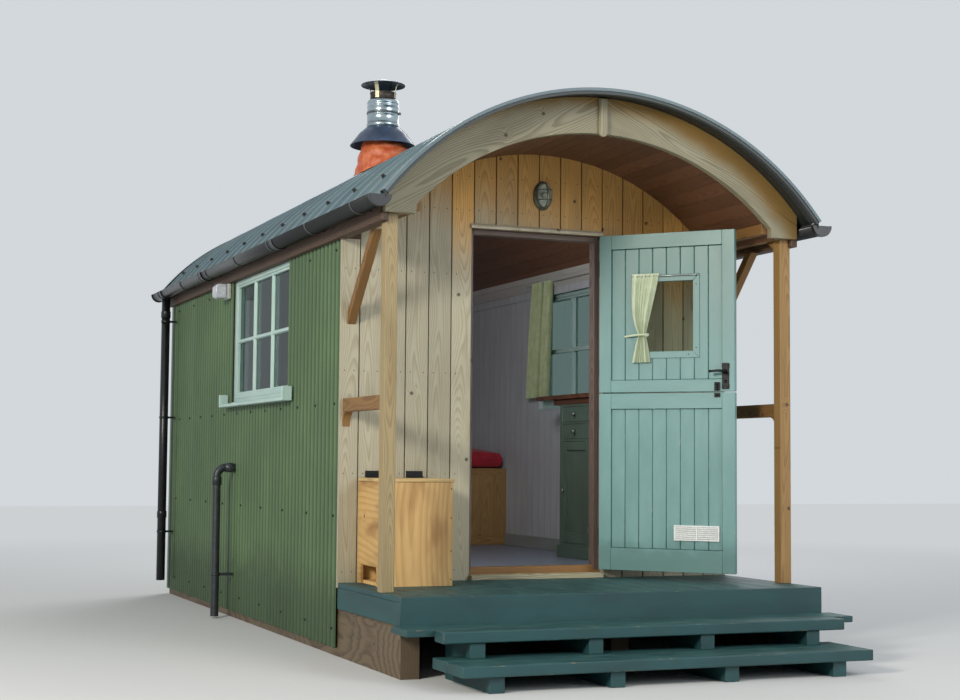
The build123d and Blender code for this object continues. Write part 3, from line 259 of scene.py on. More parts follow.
def coated_metal(name, colour, light, dirt_and_shade, run=(3.0, 3.0, 0.5), rough=0.5, dirt_amount=0.35, low=None,
        laps=None, valley_shade=None, painted_underside_shade=None):
    """Coated steel sheet: chalky variation, rain streaks along one direction, grime near the ground. Where
    asked, painted shade in the valleys and on faces that look down.
    """
    made, add = material(name)
    place = add("TexCoord", out="Object")
    cloud = add("TexNoise", place, None, 1.1, 4.0, 0.6)
    streaks = add("TexNoise", add("VectorMath MULTIPLY", place, run), None, 8.0, 4.0, 0.7)
    speck = add("TexNoise", place, None, 260.0, 2.0, 0.5)
    tone = blend(add, cloud, 0.3, 0.72, 0.0, 1.0, linear(colour), linear(light))
    tone = blend(add, streaks, 0.5, 0.78, 0.0, dirt_amount, tone, linear(dirt_and_shade))
    tone = blend(add, speck, 0.6, 0.75, 0.0, 0.12, tone, linear(dirt_and_shade))
    if low:
        height = add("SeparateXYZ", place, out=2)
        splash = add("TexNoise", place, None, 7.0, 4.0, 0.7)
        reach = add("Math MULTIPLY_ADD", splash, -0.35, height)
        tone = blend(add, reach, *low, 0.6, 0.0, tone, linear(dirt_and_shade))
    if laps:
        axis, pitch = laps
        side = add("SeparateXYZ", place, out="xyz".index(axis))
        number = add("Math FLOOR", add("Math DIVIDE", side, pitch))
        sheet = add("TexWhiteNoise", {1: number}, noise_dimensions="1D")
        shade = add("MapRange", sheet, 0.0, 1.0, 0.93, 1.05, **EASED)
        tone = add("Mix", {0: 1.0, 6: tone, 7: add("CombineColor", shade, shade, shade)},
            blend_type="MULTIPLY", **RGBA)
    if painted_underside_shade:
        # Painted shade: faces that look down take the dark colour, for the shadow under the sheets.
        up = add("SeparateXYZ", add("NewGeometry", out=1), out=2)
        tone = blend(add, up, -0.05, 0.02, 1.0, 0.0, tone, linear(painted_underside_shade))
    if valley_shade:
        # Painted shade: each valley of the corrugation darkens towards the dirt colour.
        x, y, z = add("SeparateXYZ", place, out=None)
        depth = add("Math MINIMUM", add("Math SUBTRACT", BODY_HALF, add("Math ABSOLUTE", x)),
            add("Math SUBTRACT", BODY_LENGTH, y))
        tone = blend(add, depth, 0.004, 0.014, 0.0, valley_shade, tone, linear(dirt_and_shade))
    return finish(made, add, tone, add("Math MULTIPLY_ADD", cloud, 0.2, rough - 0.1), speck, 0.0001,
        Metallic=0.0, Specular_IOR_Level=0.45)


def plain(name, colour, light, rough=0.5, scale=40.0, metallic=0.0, bump=0.0002):
    """Plastic, iron, rubber or steel: two close tones, a fine texture and the given gloss."""
    made, add = material(name)
    place = add("TexCoord", out="Object")
    cloud = add("TexNoise", place, None, scale, 3.0, 0.6)
    grit = add("TexNoise", place, None, scale * 14.0, 2.0, 0.5)
    tone = blend(add, cloud, 0.35, 0.7, 0.0, 1.0, linear(colour), linear(light))
    return finish(made, add, tone, add("Math MULTIPLY_ADD", cloud, 0.16, rough - 0.08), grit, bump,
        Metallic=metallic)


def brushed(name, colour, light, rough):
    """Rolled steel sheet: fine marks round the pipe and slow tone changes."""
    made, add = material(name)
    place = add("TexCoord", out="Object")
    cloud = add("TexNoise", place, None, 7.0, 3.0, 0.6)
    marks = add("TexNoise", add("VectorMath MULTIPLY", place, (6.0, 6.0, 900.0)), None, 1.0, 2.0, 0.6)
    tone = blend(add, cloud, 0.35, 0.7, 0.0, 1.0, linear(colour), linear(light))
    return finish(made, add, tone, add("Math MULTIPLY_ADD", marks, 0.18, rough - 0.09), marks, 0.0001,
        Metallic=1.0)


# Gives one thread every 2.2 mm
THREADS = 900.0 / 6.28


def cloth(name, colour, light, folds=None):
    """Plain-weave cloth with soft tone changes and, where asked, painted shade deep in its folds."""
    made, add = material(name)
    place = add("TexCoord", out="Object")
    cloud = add("TexNoise", place, None, 14.0, 3.0, 0.6)
    threads = [add("TexWave", {"Vector": place, "Scale": THREADS, "Distortion": 0.6}, out=1,
        bands_direction=axis) for axis in "ZX"]
    tone = blend(add, cloud, 0.3, 0.7, 0.0, 1.0, linear(colour), linear(light))
    if folds:
        # Painted shade: the cloth darkens towards the wall, deep in its folds.
        near, far, shade = folds
        tone = add("Mix", {0: add("MapRange", add("SeparateXYZ", place, out=0), near, far, 0.0, 0.75,
            **EASED), 6: tone, 7: linear(shade)}, **RGBA)
    return finish(made, add, tone, 0.86, add("Math MULTIPLY", *threads), 0.0002, Sheen_Weight=0.25)


def glass(name, tint, rough=0.02, ior=1.45):
    """A clear pane or bowl with a little haze in patches."""
    made, add = material(name)
    cloud = add("TexNoise", add("TexCoord", out="Object"), None, 6.0, 3.0, 0.6)
    return finish(made, add, linear(tint), add("MapRange", cloud, 0.55, 0.8, rough, rough + 0.05, **EASED),
        Transmission_Weight=1.0, IOR=ior)


def front_shelter_and_shade(add, place, seed):
    """Where the front boards keep their warm colour: high under the roof, and reaching lower on the right as
    painted shade.
    """
    x, y, z = add("SeparateXYZ", place, out=None)
    # Painted shade: the x term lets the golden, darker colour reach lower on the right.
    reach = add("Math MULTIPLY_ADD", x, 0.3, z)
    reach = add("Math MULTIPLY_ADD", seed, 0.34, reach)
    reach = add("Math MULTIPLY_ADD", add("TexNoise", place, None, 2.2, 3.0), 0.35, reach)
    return add("MapRange", reach, 2.44, 3.0, **EASED)


def ceiling_cove(add, place, seed):
    """The two lowest boards inside the cabin are painted with the walls."""
    x, y, z = add("SeparateXYZ", place, out=None)
    return add("Math MULTIPLY", add("Math LESS_THAN", z, 2.49), add("Math GREATER_THAN", y, 0.05))


def barge_shelter_and_shade(add, place, seed):
    """The arched boards stay brown along their upper edge, under the sheets, and further out on the right as
    painted shade.
    """
    x, y, z = add("SeparateXYZ", place, out=None)
    height = add("Math SUBTRACT", z, ROOF_Z)
    squares = [add("Math MULTIPLY", side, side) for side in (x, height)]
    # Painted shade: the x term lets the brown reach further on the right.
    radius = add("Math MULTIPLY_ADD", x, 0.06, add("Math SQRT", add("Math ADD", *squares)))
    radius = add("Math MULTIPLY_ADD", add("TexNoise", place, None, 5.0, 3.0), 0.09, radius)
    return add("MapRange", radius, 1.6, 1.7, **EASED)


def post_brown_share(add, place, seed):
    """The posts keep their oiled brown in streaks, and more of it on the right-hand post."""
    x, y, z = add("SeparateXYZ", place, out=None)
    reach = add("Math MULTIPLY", x, 0.45)
    streaks = add("TexNoise", add("VectorMath MULTIPLY", place, (9.0, 9.0, 1.2)), None, 1.0, 3.0)
    reach = add("Math MULTIPLY_ADD", streaks, 1.6, reach)
    return add("MapRange", reach, 0.35, 1.05, **EASED)


MAT = {
    # Larch boards, sawn and left to weather: grey-tan early wood between darker late-wood lines, with
    # small dark knots; golden brown where the roof keeps the rain off, and lower down on the right as painted
    # shade. Growth rings are drawn 7.5 mm apart, twice the real spacing, so that they show.
    "larch_boards": timber("weathered_larch_boards", ("AAA48C", "847A5E"), ("CE9E52", "9A682E"),
        front_shelter_and_shade, boards=("zxy", -1.2721, 0.1391), stain="6B6048", contrast=0.5),
    "larch_front": timber("front_larch_boards", ("AAA48E", "867C60"), ("CE9E52", "9A682E"), front_shelter_and_shade,
        stain="6B5C42", contrast=0.5),
    # Wide larch planks, bandsawn to the arch: dull grey-tan with broad rings, brown under the sheets and, as
    # painted shade, more so on the right
    "barge": timber("arched_larch_planks", ("908A72", "645B42"), ("8A6C34", "5C4119"), barge_shelter_and_shade,
        stain="4C432A", ring=0.01, contrast=0.6),
    "larch_grey": timber("weathered_larch", ("A8A288", "746A4C"), stain="5E5640"),
    "larch_pale": timber("bleached_larch", ("B8B09A", "8E846A"), stain="6E6450", contrast=0.5),
    # Planed larch under oil: warm mid brown, quiet grain, a low sheen
    "larch_frame": timber("oiled_larch", ("8A6636", "643F1E"), stain="403018", contrast=0.55),
    "post": timber("weathered_porch_posts", ("A4926A", "796746"), ("9C7A48", "6C4C2A"), post_brown_share,
        stain="5A4A30", contrast=0.5),
    # Larch darkened to near black-brown as painted shade, for the plates and fascias in the eaves' shadow
    "larch_dark": timber("larch_in_painted_shade", ("5A4434", "362618"), stain="241A12"),
    # Hardwood jambs, planed and stained: red-brown gone purple-grey, smoother than the boards
    "jamb": timber("red_brown_jambs", ("74625A", "4C4038"), stain="34282A", rough=0.5),
    # Rough-sawn softwood in the wet: dark brown, stained, no gloss
    "bearer": timber("rough_sawn_bearers", ("6A5A44", "453827"), stain="2E261C", boards=("yzx", 0.0, 0.25)),
    "roof_timber": timber("roof_timber", ("A88A60", "7A5C3A"), boards=("yxz", 0.0, 0.3)),
    # Planed boards under dark stain, with the two lowest painted like the walls
    "ceiling": timber("dark_ceiling_boards", ("704A32", "483022"), ("C6C2BA", "B4B0A8"), ceiling_cove,
        stain="2E2018", rough=0.5, contrast=0.5, stains=0.2),
    # Rotary-cut plywood: broad wild figure, because the knife follows the rings; orange water stains
    "locker": timber("weathered_plywood", ("DEB676", "B98A4C"), stain="7E5226", stains=0.9, ring=0.03,
        knots=0.16, contrast=0.45),
    "locker_lid": timber("locker_lid_plywood", ("C8AC78", "9C804C"), stain="5E4A2C", stains=0.6, ring=0.03,
        knots=0.1, contrast=0.5),
    # Knotty pine under varnish, and an oiled dark hardwood top: closer grain and more gloss
    "pine": timber("varnished_pine", ("A8824E", "80592F"), rough=0.4, contrast=0.5),
    "worktop": timber("oiled_worktop", ("6E4630", "462A1C"), rough=0.35),
    # Eggshell paint, brushed on planed softwood: even teal with a soft sheen, worn pale on the edges, dirty
    # near the ground, and darkened towards the top as painted shade under the roof
    "door": painted_timber("teal_door_paint", "66908E", "749C9A", under="C6BFA8", wear=0.12, rough=0.38,
        streak=0.08, dirt_and_shade="42665F", dirt_low=(0.44, 0.56)),
    "window": painted_timber("pale_window_paint", "A9C6BF", "BDD4CD", under="D8D2C0", wear=0.2,
        streak=0.08, dirt_and_shade="6C7C70"),
    # Opaque decking stain: blue-green, matt, scuffed pale on top where feet fall
    "deck": painted_timber("green_deck_stain", "193E41", "214E50", under="6E6A54", wear=0.3, rough=0.55,
        streak=0.3, dirt_and_shade="142B2A", top="38625F"),
    # Matchboard lining in matt off-white, with a V groove every 110 mm
    "lining": painted_timber("off_white_end_lining", "BCBEC2", "CACCD0", under="C8B898", streak=0.05,
        dirt_and_shade="8A8478", boards=("zxy", 0.0, 0.11), groove=True),
    "lining_side": painted_timber("off_white_side_lining", "BCBEC2", "CACCD0", under="C8B898", streak=0.05,
        dirt_and_shade="8A8478", boards=("zyx", 0.0, 0.11), groove=True),
    "skirting": painted_timber("grey_skirting_paint", "8E9290", "A2A6A2", under="C8B898", streak=0.08,
        dirt_and_shade="5A5A54"),
    "floor": painted_timber("grey_floor_paint", "7E8696", "8E96A4", under="8A7A64", rough=0.4, streak=0.12,
        dirt_and_shade="4C525C", boards=("yxz", 0.0, 0.12), groove=True),
    "cabinet": painted_timber("green_cabinet_paint", "54695A", "64786A", under="8A7A5C", wear=0.3, rough=0.4),
    # Roll-formed galvanised steel, coil-coated: chalky olive, rain streaks, and painted shade deep in the
    # valleys
    "wall": coated_metal("olive_wall_sheet", "4E6644", "5D774F", "2A3A26", run=(2.0, 2.0, 0.35), rough=0.42,
        dirt_amount=0.14, low=(0.05, 0.4), laps=("y", 0.762), valley_shade=0.7),
    # The same steel in grey-green, dark on faces that look down as painted shade, glossier because rain keeps
    # it clean
    "roof": coated_metal("grey_green_roof_sheet", "50676E", "64797E", "3A494E", run=(0.6, 5.0, 0.6),
        dirt_amount=0.35, rough=0.34, laps=("y", 1.0), painted_underside_shade="252A29"),
    # Dark sheet colour for the battens and strips under the roof's edges: painted shade for the shadow there
    "roof_shade_dark": coated_metal("roof_underside_painted_shade", "3A3E40", "454A4A", "282C2E", rough=0.6),
    # Extruded PVC: near black, smooth, a broad soft highlight
    "gutter": plain("black_gutter_plastic", "0E1012", "181B1E", rough=0.32),
    "pipe": plain("grey_waste_pipe", "23282A", "30363A", rough=0.4),
    # Forged iron under black lacquer: nearly black with a fine hammered grit
    "iron": plain("black_iron", "0E0E10", "1A1A1C", rough=0.42, scale=120.0, metallic=0.6, bump=0.0003),
    "nail": plain("dark_nail_heads", "2A2622", "3A342C", rough=0.55, scale=300.0, metallic=0.7),
    # Moulded caps over the sheet screws: dark, satin
    "screw": plain("dark_screw_caps", "1C1E1C", "2A2E2A", rough=0.4, scale=200.0),
    "zinc": plain("zinc_fittings", "A4A6A4", "BCBEBC", rough=0.35, scale=300.0, metallic=0.9),
    # Rolled stainless steel: fine marks round the pipe, sharp streaks of light down it
    "steel": brushed("bright_flue_steel", "9EACB2", "BAC8CE", 0.24),
    "band": brushed("flue_band_steel", "6E7478", "83898C", 0.34),
    "strap": brushed("flue_strap_steel", "B0A88C", "C8C2A8", 0.34),
    "neck": plain("sooted_flue_neck", "3A3430", "5C544C", rough=0.5, scale=20.0, metallic=0.7),
    # Spun steel, powder coated: blue-black and even, with a soft sky-coloured sheen
    "cowl": plain("dark_cowl_coating", "1A2130", "27324A", rough=0.34, scale=16.0),
    "cone": plain("blue_black_cone_coating", "26344A", "384C68", rough=0.38, scale=12.0),
    # Moulded silicone rubber: orange-red, dusty in patches, no hard highlight
    "boot": plain("orange_flue_boot", "B24E2A", "CE764A", rough=0.5, scale=22.0),
    # Die-cast aluminium gone dull, and moulded pale plastics beside it
    "light_metal": plain("cast_light_metal", "55564C", "74746A", rough=0.38, scale=80.0, metallic=0.7),
    "light_box": plain("pale_light_box", "A9ACA8", "BDC0BC", rough=0.4),
    "lens": plain("frosted_light_lens", "B4B8C0", "C8CCD4", rough=0.18, scale=30.0),
    "vent": plain("white_vent_plastic", "DADDDA", "E8EAE8", rough=0.4, scale=60.0),
    # Float glass and a pressed bowl: clear, a little hazy in patches; the window panes are tinted dark
    # grey-green as painted shade. The IOR is under the usual 1.45, because each pane is one thin sheet and
    # must not bend what stands behind it.
    "glass": glass("window_glass_shade_tinted", "70847F", ior=1.12),
    "lamp_glass": glass("lamp_glass", "E6ECDC", 0.1, ior=1.2),
    "door_glass": glass("door_light_glass", "D6DCCB", ior=1.15),
    # Plain-weave cotton: matt with a faint sheen. The threads are drawn 2.2 mm apart, because the real
    # 0.5 mm is too fine to show.
    "curtain": cloth("cream_curtain_cotton", "B8C4A6", "CAD3B8"),
    # The green curtain darkens towards the window as painted shade in its folds
    "green_curtain": cloth("green_curtain_cotton", "AAB586", "BEC69A", folds=(1.07, 1.108, "4E5838")),
    "cushion": cloth("red_cushion_cotton", "9A1224", "B41C2E"),
}

# What each CAD node is made of
for key, names in {
        "bearer": "ground_bearers chassis",
        "iron": "lid_hinges lid_wall_hinges lock_plate lever_handle lower_hinges upper_hinges jamb_hinges",
        "floor": "cabin_floor", "deck": "deck_boards deck_fascia upper_step lower_step step_bearers",
        "lining": "front_wall_sides front_wall_head back_wall", "larch_boards": "front_boards",
        "lining_side": "side_walls walls_under_windows", "larch_dark": "eaves_plates eaves_boards door_sill",
        "wall": "side_cladding back_cladding corner_flashings", "roof_timber": "roof_core",
        "roof": "roof_sheets", "ceiling": "ceiling_boards",
        "larch_grey": "front_barge_boards keystone_batten back_barge_boards drip_mould",
        "gutter": "gutters downpipes", "larch_frame": "porch_posts porch_rails porch_braces",
        "jamb": "door_frame", "door": "lower_leaf upper_leaf", "door_glass": "leaf_glass",
        "curtain": "leaf_curtain", "window": "window_frames window_sills", "glass": "window_glass",
        "light_metal": "porch_light", "light_box": "side_light", "pipe": "waste_pipe", "steel": "flue_pipe",
        "cowl": "flue_cap storm_cone", "boot": "flue_boot", "locker": "locker locker_lid",
        "cabinet": "cabinet", "worktop": "cabinet_top", "pine": "bench", "cushion": "bench_cushion",
}.items():
    for name in names.split():
        nodes[name].data.materials.clear()
        nodes[name].data.materials.append(MAT[key])

# Solids are gathered piece by piece, with the grain attributes that the timber reads
AXES = {"x": (1, 2), "y": (0, 2), "z": (0, 1)}
STILL = Matrix.Identity(4)


class Piece:
    """One object made of many small solids, each with its own grain coordinates and seed."""

    def __init__(self, seed=0):
        self.points, self.faces, self.smooth = [], [], []
        self.grain, self.seeds, self.edges = [], [], []
        self.random = random.Random(seed)

    def take(self, solid, place=STILL, order=None, worn=()):
        """Copy a finished bmesh in. Its longest side is along the grain unless order says otherwise."""
        solid.verts.index_update()
        low = [min(vert.co[axis] for vert in solid.verts) for axis in range(3)]
        high = [max(vert.co[axis] for vert in solid.verts) for axis in range(3)]
        if order is None:
            order = sorted("xyz", key=lambda axis: low["xyz".index(axis)] - high["xyz".index(axis)])
        axes = ["xyz".index(axis) for axis in order]
        middle = [0.5 * (low[axis] + high[axis]) for axis in axes]
        seed = self.random.random()
        first = len(self.points)
        flipped = place.determinant() < 0.0
        for vert in solid.verts:
            self.grain.append([vert.co[axis] - centre for axis, centre in zip(axes, middle)])
            self.seeds.append(seed)
            self.points.append(place @ vert.co)
        for face in solid.faces:
            corners = [first + vert.index for vert in face.verts]
            self.faces.append(corners[::-1] if flipped else corners)
            self.smooth.append(face.smooth)
            self.edges.extend([1.0 if face in worn else 0.0] * len(face.verts))
        solid.free()

    def prism(self, outline, low, high, axis="y", place=STILL, bevel=0.002, order=None, segments=2,
            turned=False):
        """A solid with a flat outline, from low to high along an axis, with its edges eased."""
        first, second = AXES[axis]
        third = "xyz".index(axis)
        solid = bmesh.new()
        rings = []
        for level in (low, high):
            ring = []
            for u, v in outline:
                spot = [0.0, 0.0, 0.0]
                spot[first], spot[second], spot[third] = u, v, level
                ring.append(solid.verts.new(spot))
            rings.append(ring)
        count = len(outline)
        solid.faces.new(rings[0])
        solid.faces.new(rings[1][::-1])
        for index in range(count):
            after = (index + 1) % count
            side = solid.faces.new((rings[0][index], rings[1][index], rings[1][after], rings[0][after]))
            side.smooth = turned
        bmesh.ops.recalc_face_normals(solid, faces=solid.faces[:])
        worn = ()
        if bevel:
            sharp = [edge for edge in solid.edges if edge.calc_face_angle(0.0) > 0.6]
            made = bmesh.ops.bevel(solid, geom=sharp, offset=bevel, offset_type="OFFSET", segments=segments,
                profile=0.5, affect="EDGES", clamp_overlap=True)
            worn = set(made["faces"])
            for face in worn:
                face.smooth = True
        self.take(solid, place, order, worn)

    def block(self, low, high, place=STILL, bevel=0.002, order=None, segments=2):
        """A board or post between two corners."""
        outline = [(low[0], low[2]), (high[0], low[2]), (high[0], high[2]), (low[0], high[2])]
        self.prism(outline, low[1], high[1], "y", place, bevel, order, segments)

    def loft(self, rings, loop=False, place=STILL, order=None, smooth=True):
        """A skin through rings of points, such as a turned part or a bent rod."""
        solid = bmesh.new()
        made = [[solid.verts.new(point) for point in ring] for ring in rings]
        count = len(rings[0])
        spans = list(zip(made, made[1:])) + ([(made[-1], made[0])] if loop else [])
        for one, two in spans:
            for index in range(count):
                after = (index + 1) % count
                side = solid.faces.new((one[index], one[after], two[after], two[index]))
                side.smooth = smooth
        if not loop:
            solid.faces.new(made[0][::-1])
            solid.faces.new(made[-1])
        bmesh.ops.recalc_face_normals(solid, faces=solid.faces[:])
        self.take(solid, place, order)

    def turned(self, profile, centre=(0.0, 0.0, 0.0), axis="z", count=32, place=STILL):
        """A round part from (radius, height) pairs about an axis through centre. Its ends are capped."""
        rings = []
        first, second = AXES[axis]
        third = "xyz".index(axis)
        for radius, height in profile:
            ring = []
            for index in range(count):
                turn = math.tau * index / count
                spot = list(centre)
                spot[first] += max(radius, 0.0002) * math.cos(turn)
                spot[second] += max(radius, 0.0002) * math.sin(turn)
                spot[third] += height
                ring.append(spot)
            rings.append(ring)
        self.loft(rings, place=place)

    def rod(self, path, radius, count=12, place=STILL, flat=1.0):
        """A round bar along a path of points. A list of radii tapers it; flat squashes its section."""
        points = [Vector(point) for point in path]
        radii = radius if isinstance(radius, (list, tuple)) else [radius] * len(points)
        rings = []
        side = None
        for index, point in enumerate(points):
            ahead = points[min(index + 1, len(points) - 1)] - points[max(index - 1, 0)]
            ahead.normalize()
            if side is None:
                side = ahead.orthogonal().normalized()
            side = (side - ahead * side.dot(ahead)).normalized()
            other = ahead.cross(side)
            rings.append([point + side * radii[index] * math.cos(math.tau * k / count)
                + other * radii[index] * flat * math.sin(math.tau * k / count) for k in range(count)])
        self.loft(rings, place=place)

    def make(self, name, key, body="hut", slot=None, replaces=(), sharp=None):
        """Turn what was gathered into one object that rides on a body."""
        mesh = bpy.data.meshes.new(name)
        mesh.from_pydata([tuple(point) for point in self.points], [], self.faces)
        mesh.polygons.foreach_set("use_smooth", self.smooth)
        mesh.attributes.new("grain", "FLOAT_VECTOR", "POINT").data.foreach_set(
            "vector", [value for point in self.grain for value in point])
        mesh.attributes.new("seed", "FLOAT", "POINT").data.foreach_set("value", self.seeds)
        mesh.attributes.new("edge", "FLOAT", "CORNER").data.foreach_set("value", self.edges)
        if sharp:
            mesh.set_sharp_from_angle(angle=math.radians(sharp))
        mesh.materials.append(MAT[key])
        made = bpy.data.objects.new(name, mesh)
        scene.collection.objects.link(made)
        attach(made, body)
        if replaces:
            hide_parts(*replaces)
        return made


def repeat(name, unit, key, places, body="hut"):
    """Copies of one small mesh at many points, turned to each point's direction, as one plain mesh."""
    holder = bpy.data.meshes.new(name)
    holder.from_pydata([place for place, aim in places], [], [])
    holder.attributes.new("aim", "FLOAT_VECTOR", "POINT").data.foreach_set(
        "vector", [value for place, aim in places for value in aim])
    made = bpy.data.objects.new(name, holder)
    scene.collection.objects.link(made)
    tree = bpy.data.node_groups.new(name + "_repeat", "GeometryNodeTree")
    for label, kind in (("Geometry", "NodeSocketGeometry"), ("Unit", "NodeSocketObject"),
            ("Finish", "NodeSocketMaterial")):
        tree.interface.new_socket(name=label, in_out="INPUT", socket_type=kind)
    tree.interface.new_socket(name="Geometry", in_out="OUTPUT", socket_type="NodeSocketGeometry")
    add = node_adder(tree)
    given = add("NodeGroupInput", out=None)
    shape = add("GeometryNodeObjectInfo", given["Unit"], out="Geometry")
    aim = add("GeometryNodeInputNamedAttribute", "aim", out="Attribute", data_type="FLOAT_VECTOR")
    turn = add("FunctionNodeAlignRotationToVector", {"Vector": aim}, axis="Z")
    spread = add("GeometryNodeInstanceOnPoints", {"Points": given["Geometry"], "Instance": shape,
        "Rotation": turn})
    solid = add("GeometryNodeRealizeInstances", spread)
    add("NodeGroupOutput", add("GeometryNodeSetMaterial", {"Geometry": solid, "Material": given["Finish"]}),
        out=None)
    modifier = made.modifiers.new("repeat", "NODES")
    modifier.node_group = tree
    for item in tree.interface.items_tree:
        if item.name == "Unit":
            modifier[item.identifier] = unit
        elif item.name == "Finish":
            modifier[item.identifier] = MAT[key]
    bpy.context.view_layer.update()
    solid = bpy.data.meshes.new_from_object(made.evaluated_get(bpy.context.evaluated_depsgraph_get()))
    made.modifiers.remove(modifier)
    made.data = solid
    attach(made, body)
    return made


def unit_mesh(name, profile, count=10):
    """A small turned part about Z, to be repeated; it is only a pattern and isn't shown."""
    piece = Piece()
    piece.turned(profile, count=count)
    mesh = bpy.data.meshes.new(name)
    mesh.from_pydata([tuple(point) for point in piece.points], [], piece.faces)
    mesh.polygons.foreach_set("use_smooth", piece.smooth)
    mesh.set_sharp_from_angle(angle=math.radians(35))
    return bpy.data.objects.new(name, mesh)


def roof_point(run, lift=0.0):
    """A point over the roof, by the distance along its arc from the crown: x, z and the outward normal."""
    turn = run / ROOF_R
    normal = (math.sin(turn), math.cos(turn))
    return (ROOF_R + lift) * normal[0], ROOF_Z + (ROOF_R + lift) * normal[1], normal


def roof_height(x, lift=0.0):
    """Height of the roof core's curve at a distance from the centre line."""
    return ROOF_Z + math.sqrt((ROOF_R + lift) ** 2 - x * x)


def ceiling_height(x, lift=0.0):
    """Height of the ceiling boards' inner curve at a distance from the centre line."""
    return CEILING_Z + math.sqrt((CEILING_R + lift) ** 2 - x * x)


def mirror(side):
    """Right side as drawn for 1, left side for -1."""
    return Matrix.Diagonal((side, 1.0, 1.0, 1.0))


# Left side, then right
SIDES = (mirror(-1.0), mirror(1.0))


def arc_points(radius, centre_z, start, stop, count):
    """Points of an arc about the hut's centre line between two values of X."""
    points = []
    first, last = math.asin(start / radius), math.asin(stop / radius)
    for index in range(count + 1):
        turn = first + (last - first) * index / count
        points.append((radius * math.sin(turn), centre_z + radius * math.cos(turn)))
    return points


# Barrel roof: box-profile sheets bent over the core, with their trims and screws
ROOF_GAUGE = 0.0012
RIB_PITCH = 0.25
RIB_FIRST = -0.895
RIB_HEIGHT = 0.0145
RIB_BASE, RIB_TOP = 0.032, 0.014
SHEET_COVER = 1.0


def roof_profile():
    """The box profile across the sheets as (y, height over the pan)."""
    points = [(ROOF_Y[0], 0.0)]
    centre = RIB_FIRST
    while centre < ROOF_Y[1] - RIB_BASE:
        points += [(centre - RIB_BASE, 0.0), (centre - RIB_TOP, RIB_HEIGHT),
            (centre + RIB_TOP, RIB_HEIGHT), (centre + RIB_BASE, 0.0)]
        for swage in (0.335, 0.665):
            middle = centre + RIB_PITCH * swage
            if middle < ROOF_Y[1] - RIB_BASE:
                points += [(middle - 0.01, 0.0), (middle, 0.003), (middle + 0.01, 0.0)]
        centre += RIB_PITCH
    points.append((ROOF_Y[1], 0.0))
    return points


def lap_step(y):
    """How far a sheet stands over its neighbour near a side lap."""
    place = (y - RIB_FIRST) % SHEET_COVER
    return 0.0012 if place < 0.04 or place > SHEET_COVER - 0.04 else 0.0


roof = Piece(1)
profile = roof_profile()
half_run = ROOF_R * ARC_HALF
runs = [half_run * (index / 40.0 - 1.0) for index in range(81)]
rings = []
for run in runs:
    x, z, normal = roof_point(run)
    over = [(y, ROOF_GAUGE + lift + lap_step(y)) for y, lift in profile]
    under = [(y, lift) for y, lift in profile]
    rings.append([(x + normal[0] * lift, y, z + normal[1] * lift) for y, lift in over + under[::-1]])
roof.loft(rings, order="yxz")
roof.make("roof_profile_sheets", "roof", slot="roof_sheet", replaces=("roof_sheets",), sharp=25)

# Battens under the sheet ends, dark as painted shade under the sheets' edge
edge_board = Piece(2)
for y0, y1 in ((ROOF_Y[0] + 0.004, ROOF_Y[0] + 0.032), (ROOF_Y[1] - 0.032, ROOF_Y[1] - 0.004)):
    outer = [roof_point(run, -0.0006)[:2] for run in runs]
    inner = [roof_point(run, -0.016)[:2] for run in runs]
    edge_board.prism(outer + inner[::-1], y0, y1, bevel=0.0)
edge_board.make("verge_battens", "roof_shade_dark", slot="roof_timber")

verge = Piece(201)
for y0, y1, y2 in ((ROOF_Y[0], ROOF_Y[0] + 0.0012, ROOF_Y[0] + 0.05), (ROOF_Y[1], ROOF_Y[1] - 0.0012,
        ROOF_Y[1] - 0.05)):
    for low, high, near, far in ((0.002, 0.0179, y0, y1), (0.0167, 0.0179, y1, y2)):
        outer = [roof_point(run, high)[:2] for run in runs]
        inner = [roof_point(run, low)[:2] for run in runs]
        verge.prism(outer + inner[::-1], min(near, far), max(near, far), bevel=0.0, turned=True)
verge.make("roof_verge_trims", "roof", slot="roof_sheet", sharp=30)

# Strips under the eaves edge of the sheets, dark as painted shade
drip = Piece(202)
for place in SIDES:
    drip.block((EAVE_X - 0.002, ROOF_Y[0] + 0.006, 2.44), (EAVE_X - 0.0008, ROOF_Y[1] - 0.006, 2.4702),
        place, 0.0)
drip.make("eaves_drip_strips", "roof_shade_dark", slot="roof_sheet")

screw = unit_mesh("screw_pattern", [(0.0, 0.0), (0.016, 0.0), (0.016, 0.003), (0.0105, 0.006), (0.0105,
    0.016), (0.007, 0.019), (0.0, 0.019)])
roof_screws = []
rib = RIB_FIRST
number = 0
while rib < ROOF_Y[1] - RIB_BASE:
    for run in (half_run - 0.155, half_run - 1.1):
        for side in (-1.0, 1.0):
            if number % 2 == 1:
                x, z, normal = roof_point(side * run, ROOF_GAUGE + RIB_HEIGHT + 0.0005)
                roof_screws.append(((x, rib, z), (normal[0], 0.0, normal[1])))
    number += 1
    rib += RIB_PITCH
repeat("roof_screws", screw, "screw", roof_screws)

# Corrugated walls: rolled sheets with a lap every tenth wave
WAVE_STEPS = 12
SHEET_WAVES = 10


def wave_strip(piece, start, stop, low, high, crest, place, origin):
    """A run of corrugated sheet as a thin solid between two heights, with a step at each side lap."""
    count = max(2, int(round((stop - start) / WAVE_PITCH * WAVE_STEPS)))
    over, under = [], []
    for index in range(count + 1):
        y = start + (stop - start) * index / count
        turn = (y - origin) / WAVE_PITCH
        lap = 0.0012 if turn % SHEET_WAVES < 0.55 else 0.0
        depth = WAVE_DEPTH * 0.5 * (1.0 - math.cos(math.tau * turn))
        over.append((crest - 0.0012 - depth + lap, y))
        under.append((crest - 0.0024 - depth, y))
    piece.prism(over + under[::-1], low, high, "z", place, bevel=0.0, turned=True, order="zyx")


